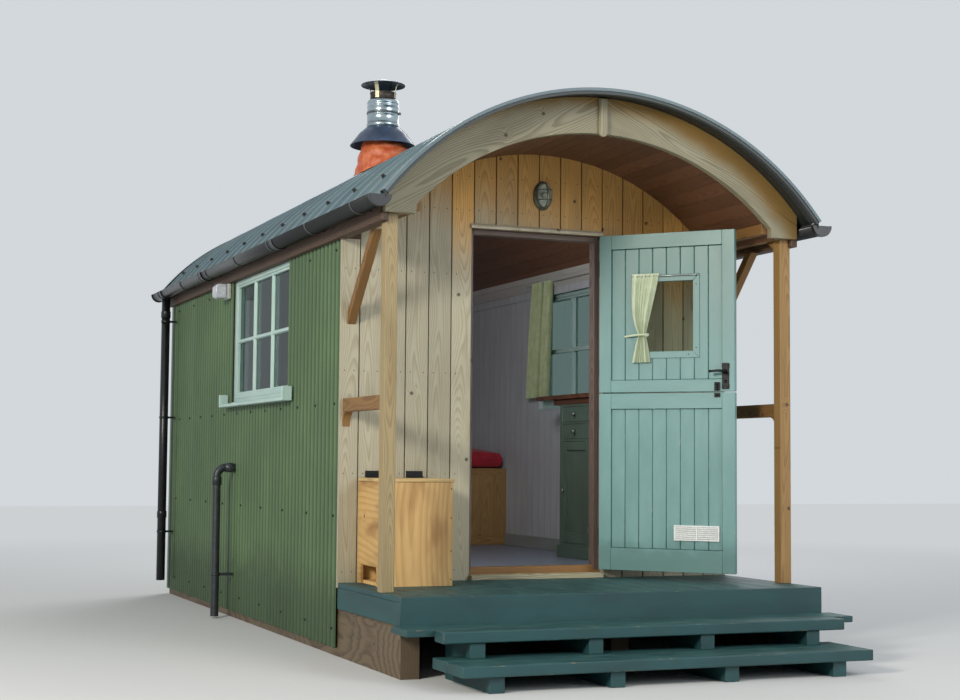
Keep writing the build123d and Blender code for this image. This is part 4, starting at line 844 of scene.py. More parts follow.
sheets = Piece(3)
for place in SIDES:
    front, back = 0.022, 4.628
    low, high = CLADDING_BOTTOM, PLATE_BOTTOM - SEAT
    sill = WINDOW_Z[0] - 0.0083
    wave_strip(sheets, front, WINDOW_Y[0] - SEAT, low, high, BODY_HALF, place, front)
    wave_strip(sheets, WINDOW_Y[0] - SEAT, WINDOW_Y[1] + SEAT, low, sill, BODY_HALF, place, front)
    wave_strip(sheets, WINDOW_Y[1] + SEAT, back, low, high, BODY_HALF, place, front)
sheets.make("side_wall_sheets", "wall", slot="wall_sheet", replaces=("side_cladding",), sharp=40)

back_sheets = Piece(4)
steps = 32 * 6
for index in range(steps):
    x0 = -WALL_OUTER + 2 * WALL_OUTER * index / steps
    x1 = -WALL_OUTER + 2 * WALL_OUTER * (index + 1) / steps
    points = []
    for x in (x0, x1):
        turn = (x + WALL_OUTER) / (2 * WALL_OUTER / 32)
        depth = WAVE_DEPTH * 0.5 * (1.0 - math.cos(math.tau * turn))
        lap = 0.0012 if turn % SHEET_WAVES < 0.55 else 0.0
        points.append((x, BODY_LENGTH - 0.0012 - depth + lap, roof_height(x, -SEAT)))
    (xa, ya, za), (xb, yb, zb) = points
    back_sheets.loft([[(xa, ya, CLADDING_BOTTOM), (xb, yb, CLADDING_BOTTOM), (xb, yb - 0.0012,
        CLADDING_BOTTOM), (xa, ya - 0.0012, CLADDING_BOTTOM)], [(xa, ya, za), (xb, yb, zb), (xb, yb - 0.0012,
            zb), (xa, ya - 0.0012, za)]], order="zxy", smooth=False)
back_sheets.make("back_wall_sheets", "wall", slot="wall_sheet", replaces=("back_cladding",))

wall_screw = unit_mesh("wall_screw_pattern", [(0.0, 0.0), (0.009, 0.0), (0.009, 0.002), (0.0055, 0.004),
    (0.0055, 0.008), (0.0, 0.008)])
wall_screws = []
for side in (-1.0, 1.0):
    for z in (0.15, 0.78, 1.413, 2.29):
        wave_number = 1
        while 0.022 + wave_number * WAVE_PITCH < 4.6:
            y = 0.022 + wave_number * WAVE_PITCH
            clear = z < 1.44 or not WINDOW_Y[0] - 0.05 < y < WINDOW_Y[1] + 0.05
            if clear:
                wall_screws.append(((side * (BODY_HALF - 0.0015), y, z), (side, 0.0, 0.0)))
            wave_number += 7 if z != 1.413 else 5
for z in (0.15, 0.78, 1.413, 2.05, 2.64):
    for index in range(-15, 16, 5):
        x = index * 2 * WALL_OUTER / 32
        if z < 2.5 or abs(x) < 0.95:
            wall_screws.append(((x, BODY_LENGTH - 0.0015, z), (0.0, 1.0, 0.0)))
repeat("wall_screws", wall_screw, "screw", wall_screws)

# Arched barge boards, the batten at their crown, wall plates and eaves boards
BARGE_Y = (-0.795, -0.75)
BARGE_R, BARGE_Z = 1.505053, 1.397947
FOOT_IN, FOOT_OUT = 1.085, 1.26


def spans(start, stop, count, gap):
    """Even widths side by side from start to stop, with a gap taken off both edges of each."""
    width = stop - start
    return [(start + width * index / count + gap, start + width * (index + 1) / count - gap)
        for index in range(count)]


def barge_outline(inner_radius, inner_z, foot_in, foot_z):
    """Right half of an arched board: outer edge under the roof, inner edge a flatter arc."""
    outer = arc_points(ROOF_R - SEAT, ROOF_Z, 0.001, FOOT_OUT, 48)
    inner = arc_points(inner_radius, inner_z, foot_in, 0.001, 48)
    if abs(inner[0][1] - foot_z) < 0.002:
        inner = inner[1:]
    return outer + [(FOOT_OUT, foot_z), (foot_in, foot_z)] + inner


def slanted(piece, outline, low, high, place):
    """A flat shape whose grain runs at 27 degrees: made level in turned axes, then turned back."""
    turn = Matrix.Rotation(-math.radians(27.0), 4, "Y")
    level = [turn @ Vector((u, 0.0, v)) for u, v in outline]
    piece.prism([(point.x, point.z) for point in level], low, high, "y", place @ turn.inverted(), 0.003,
        order="xzy")


for seed, name, replaced, depth, edge in (
        (5, "front_barge_planks", "front_barge_boards", BARGE_Y, (BARGE_R, BARGE_Z, FOOT_IN, ROOF_SEAT)),
        (6, "back_barge_planks", "back_barge_boards", (4.6505, 4.6953),
            (ROOF_R - 0.15, ROOF_Z, 1.2099, 2.348))):
    barge = Piece(seed)
    for place in SIDES:
        slanted(barge, barge_outline(*edge), *depth, place)
    barge.make(name, "barge", slot="larch_boards", replaces=(replaced,))

batten = Piece(7)
half = 0.024
outline = [(-half, 3.098), (half, 3.098), (half, 2.909)]
outline += [(half * math.cos(turn), 2.909 - half * math.sin(turn))
    for turn in (math.pi * index / 12 for index in range(1, 12))] + [(-half, 2.909)]
batten.prism(outline, BARGE_Y[0] - 0.02, BARGE_Y[0] - GAP, bevel=0.003)
batten.make("keystone", "larch_grey", slot="larch_boards", replaces=("keystone_batten",))

plates = Piece(8)
fascia = Piece(9)
ledger = Piece(10)
inside, outside = PLATE_OUT + SEAT, PLATE_OUT + 0.0423
for place in SIDES:
    plates.block((PLATE_IN, 0.0, PLATE_BOTTOM), (PLATE_OUT, BACK_OUTER, ROOF_SEAT), place, 0.003)
    plates.block((1.207, -0.6787, PLATE_BOTTOM), (PLATE_OUT, -SEAT, ROOF_SEAT), place, 0.003)
    outline = [(inside, PLATE_BOTTOM), (outside, PLATE_BOTTOM), (outside, roof_height(outside, -0.0006)),
        (0.5 * (inside + outside), roof_height(0.5 * (inside + outside), -0.0006)),
        (inside, roof_height(inside, -0.0006))]
    fascia.prism(outline, -0.7497, BODY_LENGTH, "y", place, 0.003)
    fascia.block((inside, -0.775, PLATE_BOTTOM), (outside, -0.7499, 2.3905), place, 0.003)
    ledger.prism([(1.048, 2.414), (1.092, 2.414), (1.092, 2.428), (1.048, 2.475)], -0.749, -0.0005, "y",
        place, 0.002)
plates.make("wall_plates", "larch_dark", slot="larch_frame", replaces=("eaves_plates",))
fascia.make("eaves_fascias", "larch_dark", slot="larch_frame", replaces=("eaves_boards",))
ledger.make("porch_ledgers", "larch_frame", slot="larch_frame")

# Porch posts, rails and braces
POST_BACK = -0.6787
RAIL_Z = (1.364, 1.44)
posts = Piece(11)
rails = Piece(12)
curve = [(0.063 * (1.0 - math.sqrt(max(0.0, 1.0 - step * step))), 1.364 - 0.082 * (1.0 - step))
    for step in (index / 12 for index in range(1, 12))]
for place in SIDES:
    posts.prism([(1.17, DECK_TOP), (1.24, DECK_TOP), (1.24, 2.3477), (1.231, 2.3477), (1.231, 2.3907),
        (1.17, 2.3907)], -0.749, -0.679, "y", place, 0.004, order="zxy")
    rails.block((1.1825, POST_BACK, RAIL_Z[0]), (1.2275, -SEAT, RAIL_Z[1]), place, 0.004)
    for root, out in ((POST_BACK, 1.0), (-SEAT, -1.0)):
        rails.prism([(root, RAIL_Z[0] - SEAT), (root, 1.282)] + [(root + out * reach, z) for reach,
            z in curve] + [(root + out * 0.063, RAIL_Z[0] - SEAT)], 1.1825, 1.2275, "x", place, 0.002,
            order="zyx")
posts.make("porch_post_timbers", "post", slot="larch_frame", replaces=("porch_posts",))
rails.make("porch_rail_timbers", "larch_frame", slot="larch_frame", replaces=("porch_rails",))

braces = Piece(13)
BRACE_FOOT, BRACE_REACH = 1.86, 0.46
rise = PLATE_BOTTOM - BRACE_FOOT
top_cut = BRACE_REACH * (PLATE_BOTTOM - 1.933) / rise
turn = Matrix.Rotation(math.atan2(rise, BRACE_REACH), 4, "X")
outline = [(-SEAT, BRACE_FOOT), (-SEAT, 1.933), (-top_cut, PLATE_BOTTOM - SEAT),
    (-BRACE_REACH, PLATE_BOTTOM - SEAT)]
level = [turn @ Vector((0.0, u, v)) for u, v in outline]
for place in SIDES:
    braces.prism([(point.y, point.z) for point in level], 1.1565, 1.2065, "x", place @ turn.inverted(),
        0.003, order="yzx")
    braces.prism([(POST_BACK, 2.3905), (POST_BACK, 2.3407), (-0.6087, 2.3905)], 1.17, 1.2067, "x",
        place, 0.002, order="yzx")
braces.make("porch_brace_timbers", "larch_frame", slot="larch_frame", replaces=("porch_braces",))

# Deck planks, fascia, treads and their bearers
deck = Piece(14)
DECK_HALF, DECK_COUNT = 1.243, 17
pitch = 2 * DECK_HALF / DECK_COUNT
for index in range(DECK_COUNT):
    left = -DECK_HALF + index * pitch + 0.003
    deck.block((left, -PORCH + 0.0283, CHASSIS_TOP), (left + pitch - 0.006, -SEAT, DECK_TOP), bevel=0.003)
deck.make("deck_planks", "deck", slot="deck_paint", replaces=("deck_boards",))
trim = Piece(15)
trim.block((-DECK_HALF, -PORCH, 0.266), (DECK_HALF, -PORCH + 0.028, DECK_TOP), bevel=0.004)
for place in SIDES:
    trim.block((WALL_OUTER, -PORCH + 0.0285, 0.266), (DECK_HALF, -0.0005, CHASSIS_TOP - SEAT), place, 0.002)
trim.make("deck_fascia_boards", "deck", slot="deck_paint", replaces=("deck_fascia",))
treads = Piece(16)
back_edge = -PORCH - SEAT
joint = back_edge - 0.226
treads.block((-1.29, joint, 0.236), (1.29, back_edge, 0.27), bevel=0.004)
treads.block((-1.147, joint - 0.13, 0.212), (1.147, joint - 0.006, 0.27), bevel=0.006)
treads.make("upper_treads", "deck", slot="deck_paint", replaces=("upper_step",))
treads = Piece(17)
for index in range(2):
    front = -1.66 + index * 0.206
    treads.block((-1.147, front, 0.079), (1.147, front + 0.2, 0.135), bevel=0.006)
treads.make("lower_treads", "deck", slot="deck_paint", replaces=("lower_step",))
stringers = Piece(18)
for centre in (-0.96, -0.32, 0.32, 0.96):
    outline = [(back_edge, 0.0), (back_edge, 0.236), (joint - 0.003, 0.236), (joint - 0.003, 0.212),
        (joint - 0.114, 0.212), (joint - 0.114, 0.135), (-1.254 + SEAT, 0.135), (-1.254 + SEAT, 0.079),
        (-1.63, 0.079), (-1.63, 0.0)]
    stringers.prism(outline, centre - 0.04, centre + 0.04, "x", bevel=0.003, order="yzx")
stringers.make("step_stringers", "deck", slot="deck_paint", replaces=("step_bearers",))

# Front boards, cut round the doorway and under the arched roof
boards = Piece(19)
BOARD_COVER, BOARD_GAP = 0.1391, 0.0035
seams = [-BODY_HALF - BOARD_GAP] + [-1.133 + BOARD_COVER * index for index in range(17)]
seams.append(BODY_HALF + BOARD_GAP)


def gable_top(x):
    """Top of the front boards: under the side plates, then under the arched roof core."""
    if abs(x) > PLATE_IN - SEAT:
        return PLATE_BOTTOM
    return ceiling_height(x, CEILING_BOARD)


for left, right in zip(seams[:-1], seams[1:]):
    a, b = left + BOARD_GAP, right - BOARD_GAP
    tops = [(b + (a - b) * index / 8, gable_top(b + (a - b) * index / 8)) for index in range(9)]
    if b > PLATE_IN > a:
        tops = [(b, PLATE_BOTTOM), (PLATE_IN, PLATE_BOTTOM), (PLATE_IN - 0.0006,
            gable_top(PLATE_IN - 0.0006))]
        tops += [(a, gable_top(a))]
    if b > -PLATE_IN > a:
        tops = [(b, gable_top(b)), (-PLATE_IN + 0.0006, gable_top(PLATE_IN - 0.0006)), (-PLATE_IN,
            PLATE_BOTTOM)]
        tops += [(a, PLATE_BOTTOM)]
    bottom = CHASSIS_TOP + SEAT
    if a >= DOOR_LEFT and b <= DOOR_RIGHT:
        outline = [(a, DOOR_TOP), (b, DOOR_TOP)] + tops
    elif a < DOOR_LEFT < b:
        outline = [(a, bottom), (DOOR_LEFT, bottom), (DOOR_LEFT, DOOR_TOP), (b, DOOR_TOP)] + tops
    elif a < DOOR_RIGHT < b:
        outline = [(DOOR_RIGHT, bottom), (b, bottom)] + tops + [(a, DOOR_TOP), (DOOR_RIGHT, DOOR_TOP)]
    else:
        outline = [(a, bottom), (b, bottom)] + tops
    boards.prism(outline, 0.0, 0.0195, bevel=0.0015, order="zxy")
boards.make("front_wall_boards", "larch_front", slot="larch_boards", replaces=("front_boards",))

nails = unit_mesh("nail_pattern", [(0.0, 0.0), (0.0034, 0.0), (0.003, 0.0008), (0.0, 0.0011)], 8)
nail_places = []
for left, right in zip(seams[:-1], seams[1:]):
    for z in (0.47, 1.02, 1.6, 2.18, 2.56, 2.76):
        for x in (left + 0.03, right - 0.03):
            over_door = DOOR_LEFT - 0.02 < x < DOOR_RIGHT + 0.02
            if over_door and z < 2.55 or not over_door and z > 2.5 and z > gable_top(x) - 0.05:
                continue
            if z < gable_top(x) - 0.04 and not (abs(x) > PLATE_IN and z > 2.3):
                nail_places.append(((x, 0.0001, z), (0.0, -1.0, 0.0)))
repeat("board_nails", nails, "nail", nail_places)

# Ceiling boards, running from front to back
ceiling = Piece(20)
span = math.asin(1.1305 / CEILING_R)
planks = 27
for index in range(planks):
    start = span * (2.0 * index / planks - 1.0) + 0.0004
    stop = span * (2.0 * (index + 1) / planks - 1.0) - 0.0004
    outline = []
    for turn, radius in ((start, 0.0), (stop, 0.0), (stop, CEILING_BOARD), (start, CEILING_BOARD)):
        reach = CEILING_R + radius
        outline.append((reach * math.sin(turn), CEILING_Z + reach * math.cos(turn)))
    for y0, y1 in ((-0.7495, -0.0005), (FRAME_BACK + SEAT, BACK_INNER - SEAT)):
        ceiling.prism(outline, y0, y1, bevel=0.0025, order="yxz")
ceiling.make("ceiling_planks", "ceiling", slot="ceiling_timber", replaces=("ceiling_boards",))

# Door frame, its drip moulding and the threshold
frame_piece = Piece(21)
for x0, y, z0, x1, z1, bevel in (
        (-0.4982, FRONT_BOARD, 0.3823, DOOR_LEFT, 2.4997, 0.002),
        (DOOR_RIGHT, FRONT_BOARD, 0.3823, 0.4392, 2.4997, 0.002),
        (DOOR_LEFT + GAP, FRONT_BOARD, DOOR_TOP, DOOR_RIGHT - GAP, 2.4995, 0.002),
        (DOOR_LEFT + GAP, 0.043, 0.4553, -0.4235, DOOR_TOP - GAP, 0.003),
        (0.3645, 0.043, 0.4553, DOOR_RIGHT - GAP, DOOR_TOP - GAP, 0.003),
        (-0.4233, 0.043, 2.425, 0.3643, DOOR_TOP - GAP, 0.003)):
    frame_piece.block((x0, y, z0), (x1, FRAME_BACK, z1), bevel=bevel)
frame_piece.make("door_jambs_and_stops", "jamb", slot="jamb_timber", replaces=("door_frame",))
drip = Piece(22)
drip.prism([(-SEAT, 2.457), (-0.02, 2.455), (-0.02, 2.47), (-SEAT, 2.485)], -0.4615, 0.3945, "x",
    bevel=0.0015, order="xzy")
drip.make("door_drip_moulding", "larch_pale", slot="larch_boards", replaces=("drip_mould",))
sill = Piece(23)
sill.prism([(-0.042, 0.4102), (0.0198, 0.4102), (0.0198, 0.4405), (-0.042, 0.437)], DOOR_LEFT + SEAT,
    DOOR_RIGHT - SEAT, "x", bevel=0.003, order="xyz")
sill.make("door_nosing", "larch_grey", slot="larch_frame")
sill = Piece(24)
sill.prism([(0.0202, 0.382), (0.1097, 0.382), (0.1097, 0.474), (0.104, 0.48), (0.052, 0.48), (0.0462, 0.474),
    (0.0445, 0.443), (0.0202, 0.4415)], DOOR_LEFT + SEAT, DOOR_RIGHT - SEAT, "x", bevel=0.002, order="xyz")
sill.make("door_threshold", "larch_frame", slot="larch_frame", replaces=("door_sill",))

# Door leaves: stiles and rails round tongued boards, with a boarded outer face
LEAF = Matrix(((0.66913, 0.74314, 0.0, 0.392), (-0.74314, 0.66913, 0.0, -0.006), (0.0, 0.0, 1.0, 0.0),
    (0.0, 0.0, 0.0, 1.0)))
LEAF_START, LEAF_END, STILE = 0.0025, 0.8405, 0.076
LEAF_INSIDE, PANEL_FACE, SKIN_FACE, LEAF_OUTSIDE = -0.044, -0.0325, -0.016, -0.004
LIGHT_X, LIGHT_Z, LIGHT_BAR = (0.216, 0.627), (1.708, 2.202), 0.04


def round_opening(a, b, low, high, hole):
    """Outlines of a board from a to b, cut where it meets the light in the door."""
    if hole is None or b <= hole[0] or a >= hole[1]:
        return [[(a, low), (b, low), (b, high), (a, high)]]
    x0, x1, z0, z1 = hole
    if a >= x0 and b <= x1:
        return [[(a, low), (b, low), (b, z0), (a, z0)], [(a, z1), (b, z1), (b, high), (a, high)]]
    if a < x0:
        return [[(a, low), (b, low), (b, z0), (x0, z0), (x0, z1), (b, z1), (b, high), (a, high)]]
    return [[(a, low), (b, low), (b, high), (a, high), (a, z1), (x1, z1), (x1, z0), (a, z0)]]


def build_leaf(name, seed, low, high, low_rail, high_rail, body, replaces, light=False):
    """One door leaf: a frame round eight inner boards, faced outside with ten more."""
    leaf = Piece(seed)
    left, right = LEAF_START + STILE, LEAF_END - STILE
    leaf.block((LEAF_START, LEAF_INSIDE, low), (left - GAP, SKIN_FACE - GAP, high), LEAF, 0.002)
    leaf.block((right + GAP, LEAF_INSIDE, low), (LEAF_END, SKIN_FACE - GAP, high), LEAF, 0.002)
    leaf.block((left, LEAF_INSIDE, low), (right, SKIN_FACE - GAP, low + low_rail), LEAF, 0.002)
    leaf.block((left, LEAF_INSIDE, high - high_rail), (right, SKIN_FACE - GAP, high), LEAF, 0.002)
    hole = (LIGHT_X[0] + 0.02, LIGHT_X[1] - 0.02, LIGHT_Z[0] + 0.02, LIGHT_Z[1] - 0.02) if light else None
    for a, b in spans(left, right, 8, SEAT):
        for outline in round_opening(a, b, low + low_rail + GAP, high - high_rail - GAP, hole):
            leaf.prism(outline, PANEL_FACE, SKIN_FACE - GAP, "y", LEAF, 0.0042, order="zxy", segments=1)
    hole = LIGHT_X + LIGHT_Z if light else None
    for a, b in spans(LEAF_START, LEAF_END, 10, SEAT):
        for outline in round_opening(a, b, low, high, hole):
            leaf.prism(outline, SKIN_FACE, LEAF_OUTSIDE, "y", LEAF, 0.0028, order="zxy", segments=1)
    if light:
        (x0, x1), (z0, z1), bar = LIGHT_X, LIGHT_Z, LIGHT_BAR
        corners = [(x0, z0), (x1, z0), (x1, z1), (x0, z1)]
        inner = [(x0 + bar, z0 + bar), (x1 - bar, z0 + bar), (x1 - bar, z1 - bar), (x0 + bar, z1 - bar)]
        for index in range(4):
            after = (index + 1) % 4
            leaf.prism([corners[index], corners[after], inner[after], inner[index]], -0.039, LEAF_OUTSIDE,
                "y", LEAF, 0.0022, order="xzy" if index % 2 == 0 else "zxy")
    return leaf.make(name, "door", body=body, slot="door_paint", replaces=replaces)


# How far out the leaf's ironwork lies, and where its rod, lock and bolt are, in the leaf's own axes
ROD_Y, PLATE_Y, HANDLE_Y = -0.0503, -0.0502, -0.0873
LOCK_X, LEVER_Z, BOLT_X = 0.787, 1.624, 0.7365
build_leaf("lower_door_boards", 25, 0.46, 1.502, 0.13, 0.092, "lower_door", ("lower_leaf",))
build_leaf("upper_door_boards", 26, 1.508, 2.45, 0.072, 0.086, "upper_door", ("upper_leaf",), light=True)

dots = Piece(27)
for x, z in ((0.607, 2.186), (0.607, 2.14), (0.607, 1.766), (0.56, 1.728), (0.236, 1.766), (0.236, 2.14),
        (0.3, 1.728), (0.3, 2.186)):
    dots.turned([(0.0, 0.0), (0.0036, 0.0), (0.003, -0.0012), (0.0, -0.0016)], (x, -0.0391, z), "y", 12, LEAF)
dots.make("door_light_screws", "iron", body="upper_door", slot="black_iron")


def ribbon(piece, path, width, thickness, place=STILL):
    """A flat strip standing on edge along a path."""
    points = [Vector(point) for point in path]
    rings = []
    for index, point in enumerate(points):
        ahead = points[min(index + 1, len(points) - 1)] - points[max(index - 1, 0)]
        side = Vector((ahead.y, -ahead.x, 0.0)).normalized() * (0.5 * thickness)
        rise = Vector((0.0, 0.0, 0.5 * width))
        rings.append([point + side + rise, point + side - rise, point - side - rise, point - side + rise])
    piece.loft(rings, place=place)


def fold_wave(u, folds, seed):
    """Uneven gathers across a curtain, from -1 to 1."""
    drift = (0.3 * math.sin(math.tau * (1.7 * u + 0.13 * seed))
        + 0.18 * math.sin(math.tau * (3.1 * u + 0.4 * seed)))
    wave = math.sin(math.tau * (folds * u + drift))
    return 0.8 * wave + 0.2 * math.sin(math.tau * (2.0 * folds * u + 1.3 * drift + 0.2))


def hang_cloth(name, key, rows, folds, place, body, slot, replaces,
        seed=1):
    """Gathered cloth through rows of (left, right, depth of fold, middle of fold, height)."""
    across = folds * 14
    thickness = 0.0009
    rings = []
    for left, right, depth, middle, z in rows:
        line = []
        for index in range(across + 1):
            u = index / across
            line.append((left + (right - left) * u, middle + depth * fold_wave(u, folds, seed)))
        sum(math.dist(one, two) for one, two in zip(line, line[1:]))
        front = [(x, y - 0.5 * thickness, z) for x, y in line]
        back = [(x, y + 0.5 * thickness, z) for x, y in line]
        rings.append(front + back[::-1])
    piece = Piece(seed)
    piece.loft(rings, place=place, order="zxy")
    made = piece.make(name, key, body=body, slot=slot, replaces=replaces, sharp=60)
    return made


rod = Piece(28)
rod.rod([(0.212, ROD_Y, 2.194), (0.418, ROD_Y, 2.1935), (0.622, ROD_Y, 2.194)], 0.0032, place=LEAF)
for x in (0.214, 0.62):
    rod.turned([(0.0, 0.0), (0.0055, 0.0), (0.005, -0.0025), (0.0022, -0.0035), (0.0022, -0.0085), (0.0042,
        -0.0095), (0.0052, -0.0125), (0.0042, -0.0155), (0.0, -0.016)], (x, -0.0392, 2.194), "y", 16, LEAF)
rod_piece = rod.make("curtain_rod", "zinc", body="upper_door", slot="black_iron")

rows = []
for step in range(25):
    t = step / 24
    left = 0.214 + 0.042 * t ** 5 - 0.004 * math.sin(math.pi * t)
    right = 0.382 - 0.084 * t ** 1.05
    depth = 0.0062 + 0.0022 * math.sin(math.pi * t) - 0.0008 * t
    if step < 2:
        depth *= 0.65
    rows.append((left, right, depth, ROD_Y, 2.2095 - 0.3625 * t))
for step in range(1, 13):
    t = step / 12
    left = 0.256 - 0.044 * t ** 0.72
    right = 0.298 + 0.03 * t ** 0.8
    rows.append((left, right, 0.0054 + 0.0042 * t, ROD_Y, 1.847 - 0.163 * t))
tie = Piece(29)
path = [(0.164, -0.0362, 1.84), (0.176, -0.04, 1.841), (0.2, -0.052, 1.843), (0.225, -0.0598, 1.845),
    (0.256, -0.0622, 1.847), (0.285, -0.0622, 1.848), (0.303, -0.059, 1.848), (0.309, -0.05, 1.848),
    (0.303, -0.0415, 1.847)]
ribbon(tie, path, 0.013, 0.0012, LEAF)
ribbon(tie, [(0.296, -0.0618, 1.846), (0.312, -0.0626, 1.852), (0.324, -0.06, 1.847), (0.314, -0.059, 1.84),
    (0.298, -0.0622, 1.842)], 0.009, 0.0012, LEAF)
tie.turned([(0.0, 0.0), (0.006, 0.0), (0.005, -0.002), (0.0025, -0.0035), (0.0, -0.004)], (0.164, -0.0341,
    1.84), "y", 14, LEAF)
tie_piece = tie.make("curtain_tie", "curtain", body="upper_door", slot="curtain_cloth")
hang_cloth("door_curtain", "curtain", rows, 8, LEAF, "upper_door", "curtain_cloth", ("leaf_curtain",),
    3)

# Lock plate with its lever, the small bolt and the louvred vent
plate = Piece(30)
half = [(0.0195, 1.521), (0.0225, 1.524), (0.0225, 1.548), (0.0205, 1.551), (0.0205, 1.642), (0.0225, 1.645),
    (0.0225, 1.669), (0.0195, 1.672)]
outline = [(LOCK_X + x, z) for x, z in half] + [(LOCK_X - x, z) for x, z in half[::-1]]
plate.prism(outline, -0.0503, -0.0443, "y", LEAF, 0.0014)
for x in (-0.0155, 0.0155):
    for z in (1.5345, 1.6585):
        plate.turned([(0.0, 0.0), (0.004, 0.0), (0.0034, -0.0014), (0.0, -0.002)], (LOCK_X + x, PLATE_Y, z),
            "y", 12, LEAF)
plate.turned([(0.0095, 0.0), (0.009, -0.0018), (0.0062, -0.0022), (0.0058, -0.0004), (0.0, -0.0004)],
    (LOCK_X, PLATE_Y, 1.566), "y", 20, LEAF)
plate.make("lock_face_plate", "iron", body="upper_door", slot="black_iron", replaces=("lock_plate",))
lever = Piece(31)
lever.turned([(0.0, -0.0001), (0.011, -0.0001), (0.011, -0.004), (0.0085, -0.007), (0.0078, -0.014),
    (0.0078, -0.03), (0.0095, -0.0335), (0.01, -0.04), (0.0085, -0.0435), (0.0, -0.044)],
    (LOCK_X, ROD_Y, LEVER_Z), "y", 24, LEAF)
lever.rod([(0.791, HANDLE_Y, 1.624), (0.78, HANDLE_Y, 1.6245), (0.765, HANDLE_Y, 1.6255), (0.745, HANDLE_Y,
    1.626), (0.728, HANDLE_Y, 1.625), (0.714, HANDLE_Y, 1.6238), (0.708, HANDLE_Y, 1.6236)], [0.009, 0.0084,
        0.0076, 0.007, 0.0066, 0.0068, 0.0072], 14, LEAF)
lever.turned([(0.0, -0.009), (0.0046, -0.0078), (0.0078, -0.0046), (0.009, 0.0), (0.0078, 0.0046), (0.0046,
    0.0078), (0.0, 0.009)], (0.7055, HANDLE_Y, 1.6236), "x", 18, LEAF)
lever.make("lever_arm", "iron", body="lever", slot="black_iron", replaces=("lever_handle",))
bolt = Piece(32)
bolt.block((0.718, -0.047, 1.512), (0.755, -0.0442, 1.562), LEAF, 0.0012)
for z in (1.52, 1.537, 1.554):
    bolt.block((0.728, -0.0565, z - 0.003), (0.745, -0.047, z + 0.003), LEAF, 0.0015)
bolt.rod([(BOLT_X, -0.052, 1.5135), (BOLT_X, -0.052, 1.561)], 0.0042, 12, LEAF)
bolt.turned([(0.0, 0.0), (0.003, 0.0), (0.0028, -0.006), (0.0045, -0.008), (0.0045, -0.011), (0.0, -0.012)],
    (BOLT_X, -0.056, 1.5455), "y", 12, LEAF)
bolt.make("leaf_bolt", "iron", body="upper_door", slot="black_iron")
keeper = Piece(33)
keeper.block((0.718, -0.047, 1.474), (0.755, -0.0442, 1.4995), LEAF, 0.0012)
keeper.rod([(0.728, -0.0462, 1.487), (0.728, -0.052, 1.487), (0.731, -0.056, 1.487), (BOLT_X, -0.0575, 1.487),
    (0.742, -0.056, 1.487), (0.745, -0.052, 1.487), (0.745, -0.0462, 1.487)], 0.0028, 10, LEAF)
keeper.make("leaf_bolt_keeper", "iron", body="lower_door", slot="black_iron")
vent = Piece(34)
for low, high in (((0.471, 0.643), (0.746, 0.652)), ((0.471, 0.723), (0.746, 0.732)), ((0.471, 0.6521),
        (0.481, 0.7229)), ((0.736, 0.6521), (0.746, 0.7229)), ((0.604, 0.6521), (0.613, 0.7229))):
    vent.block((low[0], -0.044, low[1]), (high[0], -0.0342, high[1]), LEAF, 0.0015)
for x0, x1 in ((0.4812, 0.6038), (0.6132, 0.7358)):
    for index in range(6):
        z = 0.658 + index * 0.0117
        vent.prism([(-0.0335, z + 0.0064), (-0.0352, z + 0.0074), (-0.043, z + 0.0006), (-0.043, z - 0.0034),
            (-0.0418, z - 0.0034)], x0, x1, "x", LEAF, 0.0)
vent.make("door_vent_louvres", "vent", body="lower_door", slot="light_box")

# Side windows: casing, sash bars and a sill tray on each side
WINDOW_IN, WINDOW_OUT = 1.158, 1.228


def sash_bar(centre, front):
    """Section of a glazing bar: square inside, narrowed towards its front."""
    return [(1.172, centre - 0.015), (1.206, centre - 0.015), (front, centre - 0.009),
        (front, centre + 0.009), (1.206, centre + 0.015), (1.172, centre + 0.015)]


casing = Piece(35)
y0, y1, z0, z1 = WINDOW_Y[0] + SEAT, WINDOW_Y[1] - SEAT, WINDOW_Z[0] + SEAT, WINDOW_Z[1] - SEAT
pane_y = (y1 - y0 + 0.0006 - 2 * 0.046 - 2 * 0.03) / 3
pane_z = (z1 - z0 + 0.0006 - 2 * 0.046 - 0.03) / 2
for place in SIDES:
    for a, b in ((y0, y0 + 0.03), (y1 - 0.03, y1)):
        casing.block((WINDOW_IN, a, z0), (WINDOW_OUT, b, z1), place, 0.003)
    for a, b in ((z1 - 0.03, z1), (z0, z0 + 0.024)):
        casing.block((WINDOW_IN, y0 + 0.0302, a), (WINDOW_OUT, y1 - 0.0302, b), place, 0.003)
    for a, b in ((y0 + 0.0304, y0 + 0.048), (y1 - 0.048, y1 - 0.0304)):
        casing.block((WINDOW_IN + 0.01, a, z0 + 0.0242), (WINDOW_OUT - 0.006, b, z1 - 0.0302), place, 0.0035)
    for a, b in ((z1 - 0.0475, z1 - 0.0304), (z0 + 0.0242, z0 + 0.068)):
        casing.block((WINDOW_IN + 0.01, y0 + 0.0482, a), (WINDOW_OUT - 0.006, y1 - 0.0482, b), place, 0.0035)
    for index in (1, 2):
        centre = WINDOW_Y[0] + 0.046 + index * (pane_y + 0.03) - 0.015
        casing.prism(sash_bar(centre, 1.221), z0 + 0.066, z1 - 0.0473, "z", place, 0.0015, order="zyx")
    level = WINDOW_Z[0] + 0.046 + pane_z + 0.015
    for index in range(3):
        a = WINDOW_Y[0] + 0.046 + index * (pane_y + 0.03)
        casing.prism(sash_bar(level, 1.22), a - 0.001, a + pane_y + 0.001, "y", place, 0.0015, order="yzx")
casing.make("window_casings_and_bars", "window", slot="window_paint", replaces=("window_frames",))
trays = Piece(36)
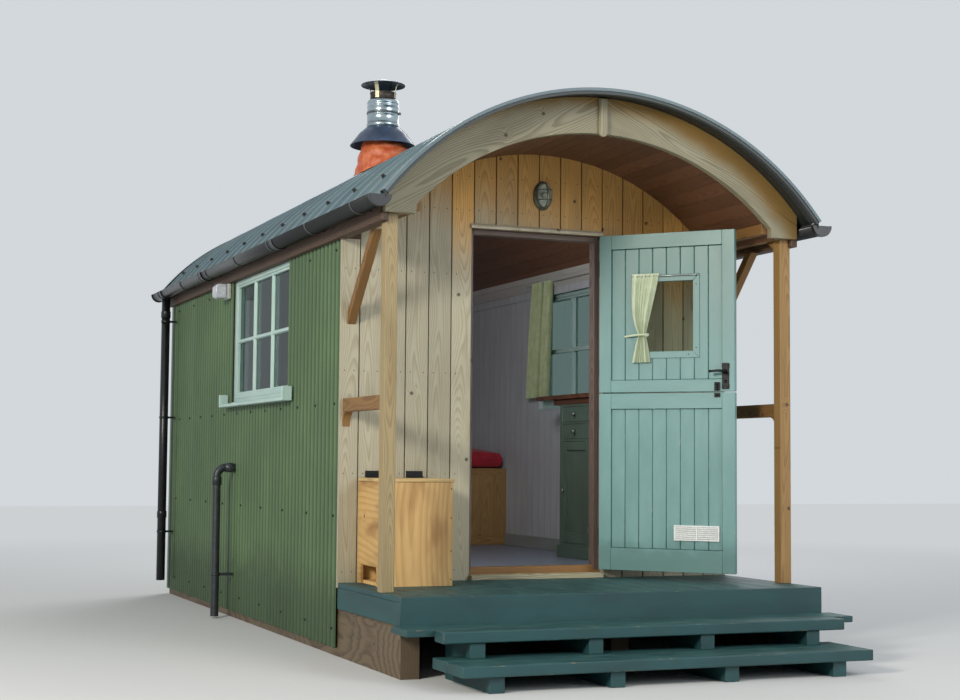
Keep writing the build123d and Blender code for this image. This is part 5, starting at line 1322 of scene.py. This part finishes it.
for place in SIDES:
    trays.prism([(1.311, 1.46), (1.2463, 1.46), (1.2463, 1.487), (1.311, 1.481)], 1.0003, 2.6397, "y", place,
        0.003, order="yxz")
    trays.prism([(1.254, 1.483), (1.254, 1.487), (1.2463, 1.495), (WINDOW_IN, 1.495), (WINDOW_IN, 1.4873),
        (1.2463, 1.4873)], WINDOW_Y[0] + SEAT, WINDOW_Y[1] - SEAT, "y", place, 0.0008, order="yxz")
    for front in (0.98, 2.64):
        trays.block((1.2463, front, 1.46), (1.311, front + 0.02, 1.55), place, 0.004)
    trays.block((1.1283, WINDOW_Y[0] + SEAT, 1.4873), (1.1578, WINDOW_Y[1] - SEAT, 1.495), place, 0.002)
trays.make("window_sill_trays", "window", slot="window_paint", replaces=("window_sills",))

# Lights: the oval bulkhead over the door and the box under the left eaves
LAMP_X, LAMP_Z = -0.002, 2.674


def oval(half_width, half_height, y, count=48):
    """A ring of points round the porch light, at a distance in front of the wall."""
    return [(LAMP_X + half_width * math.cos(math.tau * index / count), y,
        LAMP_Z + half_height * math.sin(math.tau * index / count)) for index in range(count)]


base = Piece(37)
base.loft([oval(0.059, 0.087, -SEAT), oval(0.059, 0.087, -0.01), oval(0.057, 0.085, -0.013),
    oval(0.052, 0.08, -0.015), oval(0.0505, 0.0785, -0.0235), oval(0.0485, 0.0765, -0.025),
    oval(0.044, 0.072, -0.025), oval(0.043, 0.071, -0.02)])
base.make("bulkhead_base", "light_metal", slot="light_metal", replaces=("porch_light",))
reflector = Piece(38)
reflector.loft([oval(0.042, 0.0695, -0.0205), oval(0.04, 0.067, -0.0225), oval(0.025, 0.048, -0.026)])
reflector.turned([(0.0, 0.0), (0.012, 0.0), (0.012, -0.01), (0.018, -0.016), (0.019, -0.026), (0.012, -0.033),
    (0.0, -0.035)], (LAMP_X, -0.026, LAMP_Z), "y", 20)
reflector.make("bulkhead_reflector", "light_box", slot="light_box")
bowl = Piece(39)
bowl.loft([oval(0.0415, 0.069, -0.0252), oval(0.0412, 0.0686, -0.04), oval(0.0395, 0.0665, -0.054),
    oval(0.035, 0.061, -0.064), oval(0.027, 0.05, -0.07), oval(0.015, 0.03, -0.0728),
    oval(0.003, 0.006, -0.0735)])
bowl.make("bulkhead_glass", "lamp_glass", slot="light_box")
cage = Piece(40)


def cage_bar(across, start):
    """A bar over the glass: across the light at a height, or along it at a distance from its middle."""
    path = []
    for index in range(17):
        turn = math.pi * index / 16
        reach = -math.cos(turn)
        depth = -0.0245 - 0.0515 * math.sin(turn) ** 0.62
        if across:
            width = 0.047 * math.sqrt(max(0.0, 1.0 - (start / 0.077) ** 2))
            path.append((LAMP_X + reach * width, depth, LAMP_Z + start))
        else:
            path.append((LAMP_X + start, depth, LAMP_Z + reach * 0.075))
    cage.rod(path, 0.0032, 10)


cage_bar(False, 0.0)
for rise in (-0.03, 0.03):
    cage_bar(True, rise)
cage.make("bulkhead_cage", "light_metal", slot="light_metal")

box_light = Piece(41)
box_light.block((-1.27, 2.61, 2.236), (-1.2463, 2.74, 2.346), bevel=0.005)
box_light.block((-1.276, 2.614, 2.24), (-1.2702, 2.736, 2.342), bevel=0.002)
box_light.make("side_light_box", "light_box", slot="light_box", replaces=("side_light",))
lens = Piece(42)
lens.prism([(-1.2762, 2.24), (-1.2762, 2.342), (-1.335, 2.342), (-1.35, 2.334), (-1.356, 2.318), (-1.356,
    2.262), (-1.35, 2.247), (-1.335, 2.24)], 2.6145, 2.7355, "y", bevel=0.01, segments=4)
for index in range(9):
    y = 2.626 + index * 0.01225
    lens.block((-1.338, y - 0.0018, 2.2415), (-1.278, y + 0.0018, 2.3419), bevel=0.0008)
lens.make("side_light_lens", "lens", slot="light_box")

# Waste pipe fittings
COLLAR = [(0.0282, -0.03), (0.0335, -0.028), (0.0335, 0.024), (0.0315, 0.028), (0.0282, 0.029)]
WASTE_X, WASTE_Y = -1.366, 2.44
collars = Piece(43)
collars.turned(COLLAR, (-1.28, WASTE_Y, 1.037), "x", 28)
collars.turned(COLLAR, (WASTE_X, WASTE_Y, 0.945), "z", 28)
collars.turned([(0.0282, -0.008), (0.0305, -0.008), (0.0305, 0.008), (0.0282, 0.008)], (WASTE_X, WASTE_Y,
    0.3), "z", 28)
collars.block((-1.34, WASTE_Y - 0.008, 0.29), (-1.2463, WASTE_Y + 0.008, 0.31), bevel=0.002)
collars.make("waste_pipe_collars", "pipe", slot="pipe_plastic")

# Flue: twin-wall pipe with rolled beads, sooted neck, cap on straps, storm cone and boot
FLUE = (-0.67, 1.0, 0.0)
pipe = Piece(44)
pipe.turned([(0.0, 3.1205), (0.1, 3.1205), (0.1, 3.212), (0.1038, 3.2125), (0.104, 3.235), (0.1034, 3.236),
    (0.1003, 3.2363), (0.1003, 3.29), (0.1022, 3.2925), (0.1022, 3.2945), (0.1003, 3.297), (0.1003, 3.342),
    (0.1024, 3.3445), (0.1028, 3.347), (0.1024, 3.3495), (0.1003, 3.352), (0.1003, 3.364), (0.1024, 3.3665),
    (0.103, 3.37), (0.1024, 3.3735), (0.1006, 3.376), (0.099, 3.385), (0.094, 3.39), (0.086, 3.3925),
    (0.0, 3.3925)], FLUE, "z", 72)
pipe.make("flue_twin_wall_pipe", "steel", slot="flue_steel", replaces=("flue_pipe",))
band = Piece(45)
band.turned([(0.1006, 3.302), (0.1038, 3.3025), (0.1038, 3.3135), (0.1006, 3.314)], FLUE, "z", 72)
bolt_place = Matrix.Translation((FLUE[0], FLUE[1], 3.308)) @ Matrix.Rotation(math.radians(-22.0), 4, "Z")
band.block((0.103, -0.006, -0.008), (0.116, -0.003, 0.008), bolt_place, 0.001)
band.block((0.103, 0.003, -0.008), (0.116, 0.006, 0.008), bolt_place, 0.001)
band.rod([(0.1105, -0.016, 0.0), (0.1105, 0.014, 0.0)], 0.0032, 10, bolt_place)
band.turned([(0.0, 0.0), (0.0055, 0.0), (0.0055, 0.004), (0.0, 0.004)], (0.1105, 0.01, 0.0), "y", 6,
    bolt_place)
band.make("flue_locking_band", "band", slot="flue_steel")
neck = Piece(46)
neck.turned([(0.078, 3.3926), (0.082, 3.3926), (0.082, 3.402), (0.0832, 3.4035), (0.0832, 3.406), (0.082,
    3.4075), (0.082, 3.43), (0.0845, 3.433), (0.0852, 3.4365), (0.0845, 3.4398), (0.079, 3.44), (0.077,
        3.436), (0.077, 3.393)], FLUE, "z", 64)
neck.turned([(0.0, 3.393), (0.0768, 3.393), (0.0768, 3.395), (0.0, 3.395)], FLUE, "z", 40)
neck.make("flue_neck", "neck", slot="flue_steel")
cap = Piece(47)
cap.turned([(0.0, 3.532), (0.004, 3.5312), (0.03, 3.523), (0.136, 3.4925), (0.1415, 3.49), (0.142, 3.487),
    (0.1405, 3.485), (0.135, 3.4875), (0.03, 3.519), (0.0, 3.522)], FLUE, "z", 72)
cap.make("flue_cap_cone", "cowl", slot="cowl_steel", replaces=("flue_cap",))
straps = Piece(48)
for angle in (45.0, 135.0, 225.0, 315.0):
    turn = Matrix.Translation((FLUE[0], FLUE[1], 0.0)) @ Matrix.Rotation(math.radians(angle), 4, "Z")
    wide = 0.013 if angle == 225.0 else 0.005
    straps.prism([(0.0835, 3.398), (0.085, 3.398), (0.0858, 3.44), (0.096, 3.478), (0.108, 3.4945), (0.1066,
        3.4955), (0.0944, 3.4786), (0.0842, 3.4402)], -wide, wide, "y", turn, 0.0)
    straps.turned([(0.0, 0.0), (0.004, 0.0), (0.0034, 0.0016), (0.0, 0.002)], (0.0852, 0.0, 3.418), "x", 12,
        turn)
straps.make("flue_cap_straps", "strap", slot="flue_steel")
cone = Piece(49)
cone.turned([(0.1003, 3.2117), (0.1035, 3.212), (0.11, 3.2105), (0.15, 3.173), (0.2045, 3.1015), (0.2078,
    3.098), (0.2072, 3.0948), (0.2045, 3.0945), (0.201, 3.0985), (0.148, 3.169), (0.1085, 3.205), (0.1003,
        3.206)], FLUE, "z", 96)
for angle in (-28.0, 152.0):
    turn = Matrix.Translation((FLUE[0], FLUE[1], 0.0)) @ Matrix.Rotation(math.radians(angle), 4, "Z")
    cone.prism([(0.1085, 3.2118), (0.15, 3.1738), (0.2055, 3.101), (0.2055, 3.103), (0.1506, 3.1766), (0.109,
        3.2145)], -0.0045, 0.0045, "y", turn, 0.0006)
cone.make("flue_storm_cone", "cone", slot="cowl_steel", replaces=("storm_cone",))
boot = Piece(50)
rings = []
around = 96
for row in range(27):
    t = row / 26
    ring = []
    for index in range(around):
        turn = math.tau * index / around
        foot_radius = 0.179
        foot = roof_height(FLUE[0] + foot_radius * math.cos(turn), 0.018)
        top = 3.119
        z = top + (foot - top) * t
        radius = 0.1262 + (foot_radius - 0.1262) * t ** 0.85
        crease = math.sin(16.0 * t + 1.9 * math.sin(2.0 * turn + 0.6) + 0.8 * math.sin(5.0 * turn))
        radius += 0.0046 * crease * math.sin(math.pi * min(1.0, t * 1.05)) ** 0.7
        if t > 0.93:
            radius += 0.006 * (t - 0.93) / 0.07
        ring.append((FLUE[0] + radius * math.cos(turn), FLUE[1] + radius * math.sin(turn), z + 0.0004))
    rings.append(ring)
boot.loft(rings)
boot.make("flue_boot_folds", "boot", slot="boot_rubber", replaces=("flue_boot",))

# Gutters with unions, stop ends and brackets, and the downpipes
GUTTER_X, GUTTER_RIM, GUTTER_R = 1.336, 2.456, 0.056


def half_round(radius, thick):
    """Section of the gutter, or of what wraps it, as a closed outline."""
    steps = [math.pi * index / 20 for index in range(21)]
    outer = [(GUTTER_X - radius * math.cos(turn), GUTTER_RIM - radius * math.sin(turn)) for turn in steps]
    inner = [(GUTTER_X - (radius - thick) * math.cos(turn), GUTTER_RIM - (radius - thick) * math.sin(turn))
        for turn in steps]
    return outer + inner[::-1]


GUTTER_Y = (-0.941, 4.79)
SPOUT_Y, SPOUT_R = 4.47, 0.034
channel = Piece(51)
joints = Piece(52)
brackets = Piece(53)
for place in SIDES:
    channel.prism(half_round(GUTTER_R, 0.0022), GUTTER_Y[0] + GAP, GUTTER_Y[1] - GAP, "y", place, 0.0,
        turned=True)
    channel.rod([(GUTTER_X + GUTTER_R - 0.0018, GUTTER_Y[0] + 0.0005, GUTTER_RIM - 0.0012),
        (GUTTER_X + GUTTER_R - 0.0018, GUTTER_Y[1] - 0.0005, GUTTER_RIM - 0.0012)], 0.0036, 10, place)
    for near, far in ((GUTTER_Y[0], -0.917), (4.766, GUTTER_Y[1])):
        joints.prism(half_round(0.0628, 0.0066), near, far, "y", place, 0.0015)
        end = near if near < 0 else far - 0.003
        half = [(GUTTER_X - 0.0585 * math.cos(math.pi * index / 20),
            GUTTER_RIM - 0.0585 * math.sin(math.pi * index / 20)) for index in range(21)]
        joints.prism(half, end, end + 0.003, "y", place, 0.0008)
    for centre in (1.02, 3.01, SPOUT_Y):
        joints.prism(half_round(0.0605, 0.0044), centre - 0.045, centre + 0.045, "y", place, 0.0015)
        for middle in (centre - 0.04, centre + 0.04):
            joints.prism(half_round(0.0628, 0.006), middle - 0.005, middle + 0.005, "y", place, 0.001)
    joints.turned([(0.0345, 2.393), (0.04, 2.393), (0.04, 2.405), (0.0345, 2.405)], (GUTTER_X, SPOUT_Y, 0.0),
        "z", 28, place)
    for index in range(7):
        y = -0.6 + index * (4.56 + 0.6) / 6
        brackets.prism(half_round(0.0593, 0.003), y - 0.0125, y + 0.0125, "y", place, 0.0008)
        brackets.block((PLATE_OUT + 0.0426, y - 0.0125, 2.41), (GUTTER_X - GUTTER_R + 0.001, y + 0.0125,
            2.454), place, 0.002)
channel.make("gutter_channels", "gutter", slot="gutter_plastic", replaces=("gutters",))
joints.make("gutter_unions", "gutter", slot="gutter_plastic")
brackets.make("gutter_brackets", "gutter", slot="gutter_plastic")
spouts = Piece(54)
for place in SIDES:
    spouts.turned([(0.0315, 0.12), (SPOUT_R, 0.1202), (SPOUT_R, 2.3925), (0.0315, 2.3925)], (GUTTER_X,
        SPOUT_Y, 0.0), "z", 32, place)
    for z in (0.62, 2.24):
        spouts.turned([(0.0341, z), (0.0385, z + 0.001), (0.0385, z + 0.05), (0.037, z + 0.054), (0.0341,
            z + 0.055)], (GUTTER_X, SPOUT_Y, 0.0), "z", 32, place)
    for z in (0.5, 1.42, 2.2):
        spouts.turned([(0.0341, z), (0.0372, z), (0.0372, z + 0.02), (0.0341, z + 0.02)], (GUTTER_X, SPOUT_Y,
            0.0), "z", 32, place)
        spouts.block((1.2475, SPOUT_Y - 0.012, z + 0.002), (GUTTER_X - SPOUT_R, SPOUT_Y + 0.012, z + 0.018),
            place, 0.002)
spouts.make("downpipe_lengths", "gutter", slot="gutter_plastic", replaces=("downpipes",))

# Locker of weathered plywood with its lid
box = Piece(55)
left, right, front, back, foot, top = -1.13, -0.705, -0.385, -SEAT, 0.4103, 0.978
BOARD = 0.018
box.block((left, front, foot), (right, front + BOARD - GAP, top), bevel=0.0012, order="zxy")
box.prism([(front + BOARD, foot), (back, foot), (back, top), (front + BOARD, top)], right - BOARD,
    right - 0.0004, "x", bevel=0.0012, order="yzx")
box.prism([(front + BOARD, foot), (-0.33, foot), (-0.33, 0.515), (-0.06, 0.515), (-0.06, foot), (back, foot),
    (back, top), (front + BOARD, top)], left + 0.0004, left + BOARD, "x", bevel=0.0012, order="yzx")
box.block((left + BOARD + GAP, back - BOARD, foot), (right - BOARD - GAP, back, top), bevel=0.0012)
box.block((left + BOARD + GAP, front + BOARD + GAP, foot), (right - BOARD - GAP, back - BOARD - GAP,
    foot + BOARD), bevel=0.001)
box.make("locker_sheet_boards", "locker", slot="locker_ply", replaces=("locker",))
lid = Piece(56)
lid.block((left - 0.006, front - 0.006, 0.9783), (right + 0.006, -0.012, 0.9963), bevel=0.0018)
lid.make("locker_lid_board", "locker_lid", body="lid", slot="locker_ply", replaces=("locker_lid",))
pins = unit_mesh("locker_screw_pattern", [(0.0, 0.0), (0.004, 0.0), (0.0034, 0.0006), (0.0, 0.0008)], 10)
spots = []
for z in (0.445, 0.6, 0.78, 0.94):
    for x in (left + 0.01, right - 0.01):
        spots.append(((x, front - 0.0001, z), (0.0, -1.0, 0.0)))
repeat("locker_screws", pins, "nail", spots)

# Cabinet: framed carcass with drawers and a panelled door on the side that faces the room
face, wall, near, far, foot, top = 0.85, 1.1277, 1.06, 1.56, FLOOR_TOP, 1.49
carcass = Piece(57)
carcass.block((face + 0.018, near, foot + 0.08), (wall, far, top), bevel=0.002)
carcass.block((face - 0.015, near - 0.015, foot), (wall, far + 0.015, foot + 0.08), bevel=0.004)
for a, b in ((near, near + 0.04), (far - 0.04, far)):
    carcass.block((face, a, foot + 0.0802), (face + 0.0178, b, top), bevel=0.002)
for a, b in ((foot + 0.0802, foot + 0.1), (1.236, 1.252), (1.356, 1.37), (1.474, top)):
    carcass.block((face, near + 0.0402, a), (face + 0.0178, far - 0.0402, b), bevel=0.0015)
for a, b in ((1.2535, 1.3545), (1.3715, 1.4725)):
    carcass.block((face + 0.001, near + 0.042, a), (face + 0.0176, far - 0.042, b), bevel=0.002)
door_low, door_high = foot + 0.102, 1.2345
for a, b in ((near + 0.042, near + 0.102), (far - 0.102, far - 0.042)):
    carcass.block((face + 0.001, a, door_low), (face + 0.0176, b, door_high), bevel=0.002)
for a, b in ((door_low, door_low + 0.07), (door_high - 0.06, door_high)):
    carcass.block((face + 0.001, near + 0.1022, a), (face + 0.0176, far - 0.1022, b), bevel=0.002)
carcass.block((face + 0.01, near + 0.1024, door_low + 0.0702), (face + 0.0177, far - 0.1024,
    door_high - 0.0602), bevel=0.001)
for x in (face + 0.04, wall - 0.06):
    carcass.block((x, near - 0.006, foot + 0.11), (x + 0.03, near - GAP, top - 0.02), bevel=0.002)
carcass.make("cabinet_carcass", "cabinet", slot="cabinet_paint", replaces=("cabinet",))
knobs = Piece(58)
for z in (1.304, 1.422):
    knobs.turned([(0.0, 0.0), (0.0065, 0.0), (0.006, -0.006), (0.0095, -0.012), (0.015, -0.017), (0.016,
        -0.022), (0.012, -0.027), (0.0, -0.029)], (face + 0.0008, 1.31, z), "x", 24)
knobs.turned([(0.0, 0.0), (0.005, 0.0), (0.0045, -0.005), (0.01, -0.012), (0.01, -0.018), (0.0, -0.021)],
    (face + 0.0008, far - 0.072, 0.9), "x", 20)
for z in (0.64, 1.13):
    knobs.block((face - 0.0015, near + 0.03, z - 0.022), (face + 0.0006, near + 0.054, z + 0.022),
        bevel=0.0006)
knobs.make("cabinet_knobs_and_hinges", "zinc", slot="light_metal")
worktop = Piece(59)
worktop.block((face, near, top + GAP), (wall, far + 0.11, top + 0.0398), bevel=0.003)
worktop.block((face - 0.018, near - 0.018, top + 0.04), (wall, far + 0.37, top + 0.07), bevel=0.004)
worktop.make("worktop_boards", "worktop", slot="worktop_timber", replaces=("cabinet_top",))

# Bench across the back, boarded in pine, with its cushion
left, right, front, back, foot, top = -1.1277, 1.1277, 3.15, 4.5317, FLOOR_TOP, 1.04
bench = Piece(60)
for a, b in spans(left, right, 21, 0.0004):
    bench.block((a, front + 0.002, foot + 0.0702), (b, front + 0.02, top - 0.0502), bevel=0.002, order="zxy")
bench.block((left, front, foot), (right, front + 0.022, foot + 0.07), bevel=0.003)
bench.block((left, front, top - 0.05), (right, front + 0.022, top - 0.0222), bevel=0.003)
for a, b in spans(front, back, 9, 0.0005):
    bench.block((left, a, top - 0.022), (right, b, top), bevel=0.002)
bench.make("bench_boards", "pine", slot="locker_ply", replaces=("bench",))


def crowned_pad(low, high, crown, waist, seed):
    """A boxed cushion: a crowned top and bottom, sides that pull in between the corners."""
    rows, columns = 56, 92
    (x0, y0, z0), (x1, y1, z1) = low, high
    solid = bmesh.new()
    half_x, half_y, mid_z = 0.5 * (x1 - x0), 0.5 * (y1 - y0), 0.5 * (z0 + z1)
    centre_x, centre_y, half_z = 0.5 * (x0 + x1), 0.5 * (y0 + y1), 0.5 * (z1 - z0)
    source = random.Random(seed)
    phase = [source.uniform(0.0, math.tau) for index in range(4)]

    def edge_pull(u, v):
        return 1.0 - waist * (1.0 - abs(v) ** 3), 1.0 - waist * (1.0 - abs(u) ** 3)

    def spot(u, v, top):
        pull_x, pull_y = edge_pull(u, v)
        inset = (1.0 - abs(u) ** 6) * (1.0 - abs(v) ** 6)
        puff = crown * inset ** 0.5
        dent = 0.006 * (math.sin(3.1 * u + phase[0]) * math.sin(2.3 * v + phase[1])
            + 0.5 * math.sin(7.0 * u + phase[2]) * math.sin(5.0 * v + phase[3])) * inset
        lift = half_z - crown + puff + dent
        return (centre_x + half_x * u * pull_x, centre_y + half_y * v * pull_y,
            mid_z + (lift if top else -(half_z - 0.3 * crown)))

    upper, lower = ([[solid.verts.new(spot(2.0 * i / columns - 1.0, 2.0 * j / rows - 1.0, top))
        for i in range(columns + 1)] for j in range(rows + 1)] for top in (True, False))
    for grid in (upper, lower):
        for j in range(rows):
            for i in range(columns):
                solid.faces.new((grid[j][i], grid[j][i + 1], grid[j + 1][i + 1], grid[j + 1][i]))
    border = [(0, i) for i in range(columns)] + [(j, columns) for j in range(rows)]
    border += [(rows, i) for i in range(columns, 0, -1)] + [(j, 0) for j in range(rows, 0, -1)]
    rings = [[upper[j][i] for j, i in border]]
    for step in range(1, 6):
        t = step / 6
        ring = []
        for j, i in border:
            one, two = upper[j][i].co, lower[j][i].co
            out = Vector((one.x - centre_x, one.y - centre_y, 0.0))
            out = Vector((out.x / half_x, out.y / half_y, 0.0))
            out = Vector((round(out.x * abs(out.x) ** 8, 4), round(out.y * abs(out.y) ** 8, 4), 0.0))
            ring.append(solid.verts.new(one.lerp(two, t) + out * 0.016 * math.sin(math.pi * t)))
        rings.append(ring)
    rings.append([lower[j][i] for j, i in border])
    for above_ring, below_ring in zip(rings, rings[1:]):
        for index in range(len(border)):
            after = (index + 1) % len(border)
            solid.faces.new((above_ring[index], above_ring[after], below_ring[after], below_ring[index]))
    bmesh.ops.recalc_face_normals(solid, faces=solid.faces[:])
    for face in solid.faces:
        face.smooth = True
    return solid, rings


def swell(solid, low, high, cap):
    """Blow the pad up a little by cloth simulation; the bench and walls keep it in its box."""
    start = bpy.data.meshes.new("pad_start")
    solid.to_mesh(start)
    pad = bpy.data.objects.new("pad_start", start)
    scene.collection.objects.link(pad)
    cloth_made = pad.modifiers.new("swell", "CLOTH")
    cloth_made.settings.use_pressure = True
    cloth_made.settings.uniform_pressure_force = 4.0
    cloth_made.settings.effector_weights.gravity = 0.0
    cloth_made.settings.bending_stiffness = 2.0
    cloth_made.collision_settings.use_collision = False
    for number in range(1, 17):
        scene.frame_set(number)
    shaped = pad.evaluated_get(bpy.context.evaluated_depsgraph_get()).data
    solid.verts.ensure_lookup_table()
    for vert, after in zip(solid.verts, shaped.vertices):
        move = after.co - vert.co
        if move.length > cap:
            move *= cap / move.length
        place = vert.co + move
        vert.co = [min(max(place[axis], low[axis]), high[axis]) for axis in range(3)]
    scene.frame_set(1)
    bpy.data.objects.remove(pad)
    bpy.data.meshes.remove(start)


cushion = Piece(61)
solid, rings = crowned_pad((-1.104, 3.172, 1.048), (1.104, 4.508, 1.176), 0.018, 0.01, 7)
swell(solid, (-1.124, 3.152, 1.0408), (1.124, 4.528, 1.204), 0.028)
welt = [rings[2][index].co.copy() for index in range(len(rings[2]))]
cushion.take(solid)
rings = []
for index, point in enumerate(welt):
    ahead = (welt[(index + 1) % len(welt)] - welt[index - 1]).normalized()
    side = Vector((ahead.y, -ahead.x, 0.0)).normalized()
    up = Vector((0.0, 0.0, 1.0))
    rings.append([point + (side * math.cos(math.tau * k / 8) + up * math.sin(math.tau * k / 8)) * 0.0032
        for k in range(8)])
cushion.loft(rings, loop=True)
cushion_piece = cushion.make("bench_cushion_pad", "cushion", slot="cushion_cloth",
    replaces=("bench_cushion",), sharp=60)

# Curtain at the right-hand window, gathered to its far side on a thin rail
rail = Piece(62)
rail.rod([(1.092, 1.02, 2.432), (1.092, 2.69, 2.432)], 0.0055, 14)
for y in (1.06, 2.65):
    rail.block((1.0945, y - 0.008, 2.424), (1.1278, y + 0.008, 2.44), bevel=0.002)
rail_piece = rail.make("window_curtain_rail", "zinc", slot="light_metal")
SIDEWAYS = Matrix(((0.0, 1.0, 0.0, 0.0), (1.0, 0.0, 0.0, 0.0), (0.0, 0.0, 1.0, 0.0), (0.0, 0.0, 0.0, 1.0)))
rows = []
for step in range(22):
    t = step / 21
    belly = math.sin(math.pi * t)
    rows.append((2.2 + 0.06 * t - 0.01 * belly, 2.56 + 0.09 * t, 0.022 + 0.008 * t, 1.088 - 0.006 * belly,
        2.446 - 0.87 * t))
hang_cloth("window_curtain", "green_curtain", rows, 7, SIDEWAYS, "hut", "curtain_cloth", (),
    5)

# Skirting and cornice along the cabin's sides
for seed, name, key, far, low, high in (
        (63, "cabin_skirting", "skirting", 3.1495, 0.4402, 0.53),
        (64, "cabin_cornice", "lining_side", 4.531, 2.34, 2.395)):
    strip = Piece(seed)
    for place in SIDES:
        strip.block((1.1128, 0.1105, low), (1.1278, far, high), place, 0.003)
    strip.make(name, key, slot="lining_paint")

# Floor, light and camera
def seen_directly(add):
    """1 where the camera, a reflection or a ray through glass sees the surface, 0 for its light."""
    rays = add("LightPath", out=None)
    seen = add("Math MAXIMUM", rays["Is Glossy Ray"], rays["Is Transmission Ray"])
    return add("Math MAXIMUM", rays["Is Camera Ray"], seen)


bpy.ops.mesh.primitive_plane_add(size=60.0, location=(0.0, 0.0, -0.001))
ground = bpy.context.object
ground.name = "studio_floor"
floor_made, add = material("studio_floor")
shade = surface(add, linear("DEDEDC"), 0.9)
reach = add("VectorMath LENGTH", add("TexCoord", out="Object"), out=1)
far_off = add("Math MULTIPLY", add("MapRange", reach, 5.0, 15.0, **EASED), seen_directly(add))
glow = add("Emission", linear("D6DADC"), 0.9)
add("OutputMaterial", add("MixShader", far_off, shade, glow), out=None)
ground.data.materials.append(floor_made)


def area_light(name, place, target, size, power, colour=(1.0, 1.0, 1.0)):
    """A round soft light that faces a point."""
    data = bpy.data.lights.new(name, "AREA")
    data.shape = "DISK"
    data.size = size
    data.energy = power
    data.color = colour
    lamp = bpy.data.objects.new(name, data)
    lamp.location = place
    lamp.rotation_euler = (Vector(target) - Vector(place)).to_track_quat("-Z", "Y").to_euler()
    scene.collection.objects.link(lamp)


area_light("key", (-10.0, -6.6, 5.2), (0.0, 0.5, 1.4), 2.4, 1060.0, (1.0, 0.95, 0.86))
area_light("fill", (5.0, -10.0, 5.6), (0.0, 1.0, 1.2), 7.0, 560.0, (0.94, 0.97, 1.0))
area_light("back", (4.0, 10.0, 7.0), (0.0, 2.0, 2.0), 6.0, 380.0)
area_light("cabin", (-0.55, 0.35, 2.35), (0.9, 3.0, 1.0), 0.5, 19.0, (0.95, 0.97, 1.0))

world = bpy.data.worlds.new("studio")
world.use_nodes = True
world.node_tree.nodes.clear()
add = node_adder(world.node_tree)
shown = seen_directly(add)
sky = add("Mix", {0: shown, 6: (0.8, 0.86, 0.95, 1.0), 7: linear("DCE2E6")}, **RGBA)
strength = add("Math MULTIPLY_ADD", shown, 0.48, 0.42)
add("OutputWorld", add("Background", sky, strength), out=None)
scene.world = world
scene.view_settings.view_transform = "Standard"

CAMERA_YAW, CAMERA_PITCH, CAMERA_ROLL = 0.388, 0.068, 0.008
camera_data = bpy.data.cameras.new("photo_camera")
camera_data.lens = 61.63
camera_data.sensor_width = 36.0
camera_data.clip_end = 200.0
camera = bpy.data.objects.new("photo_camera", camera_data)
level = Vector((math.sin(CAMERA_YAW), math.cos(CAMERA_YAW), 0.0))
aside = Vector((math.cos(CAMERA_YAW), -math.sin(CAMERA_YAW), 0.0))
upright = Vector((0.0, 0.0, 1.0))
ahead = level * math.cos(CAMERA_PITCH) + upright * math.sin(CAMERA_PITCH)
above = upright * math.cos(CAMERA_PITCH) - level * math.sin(CAMERA_PITCH)
right = aside * math.cos(CAMERA_ROLL) + above * math.sin(CAMERA_ROLL)
top = above * math.cos(CAMERA_ROLL) - aside * math.sin(CAMERA_ROLL)
pose = Matrix((right, top, -ahead)).transposed().to_4x4()
pose.translation = Vector((-4.014, -8.855, 1.09))
camera.matrix_world = pose
scene.collection.objects.link(camera)
scene.camera = camera
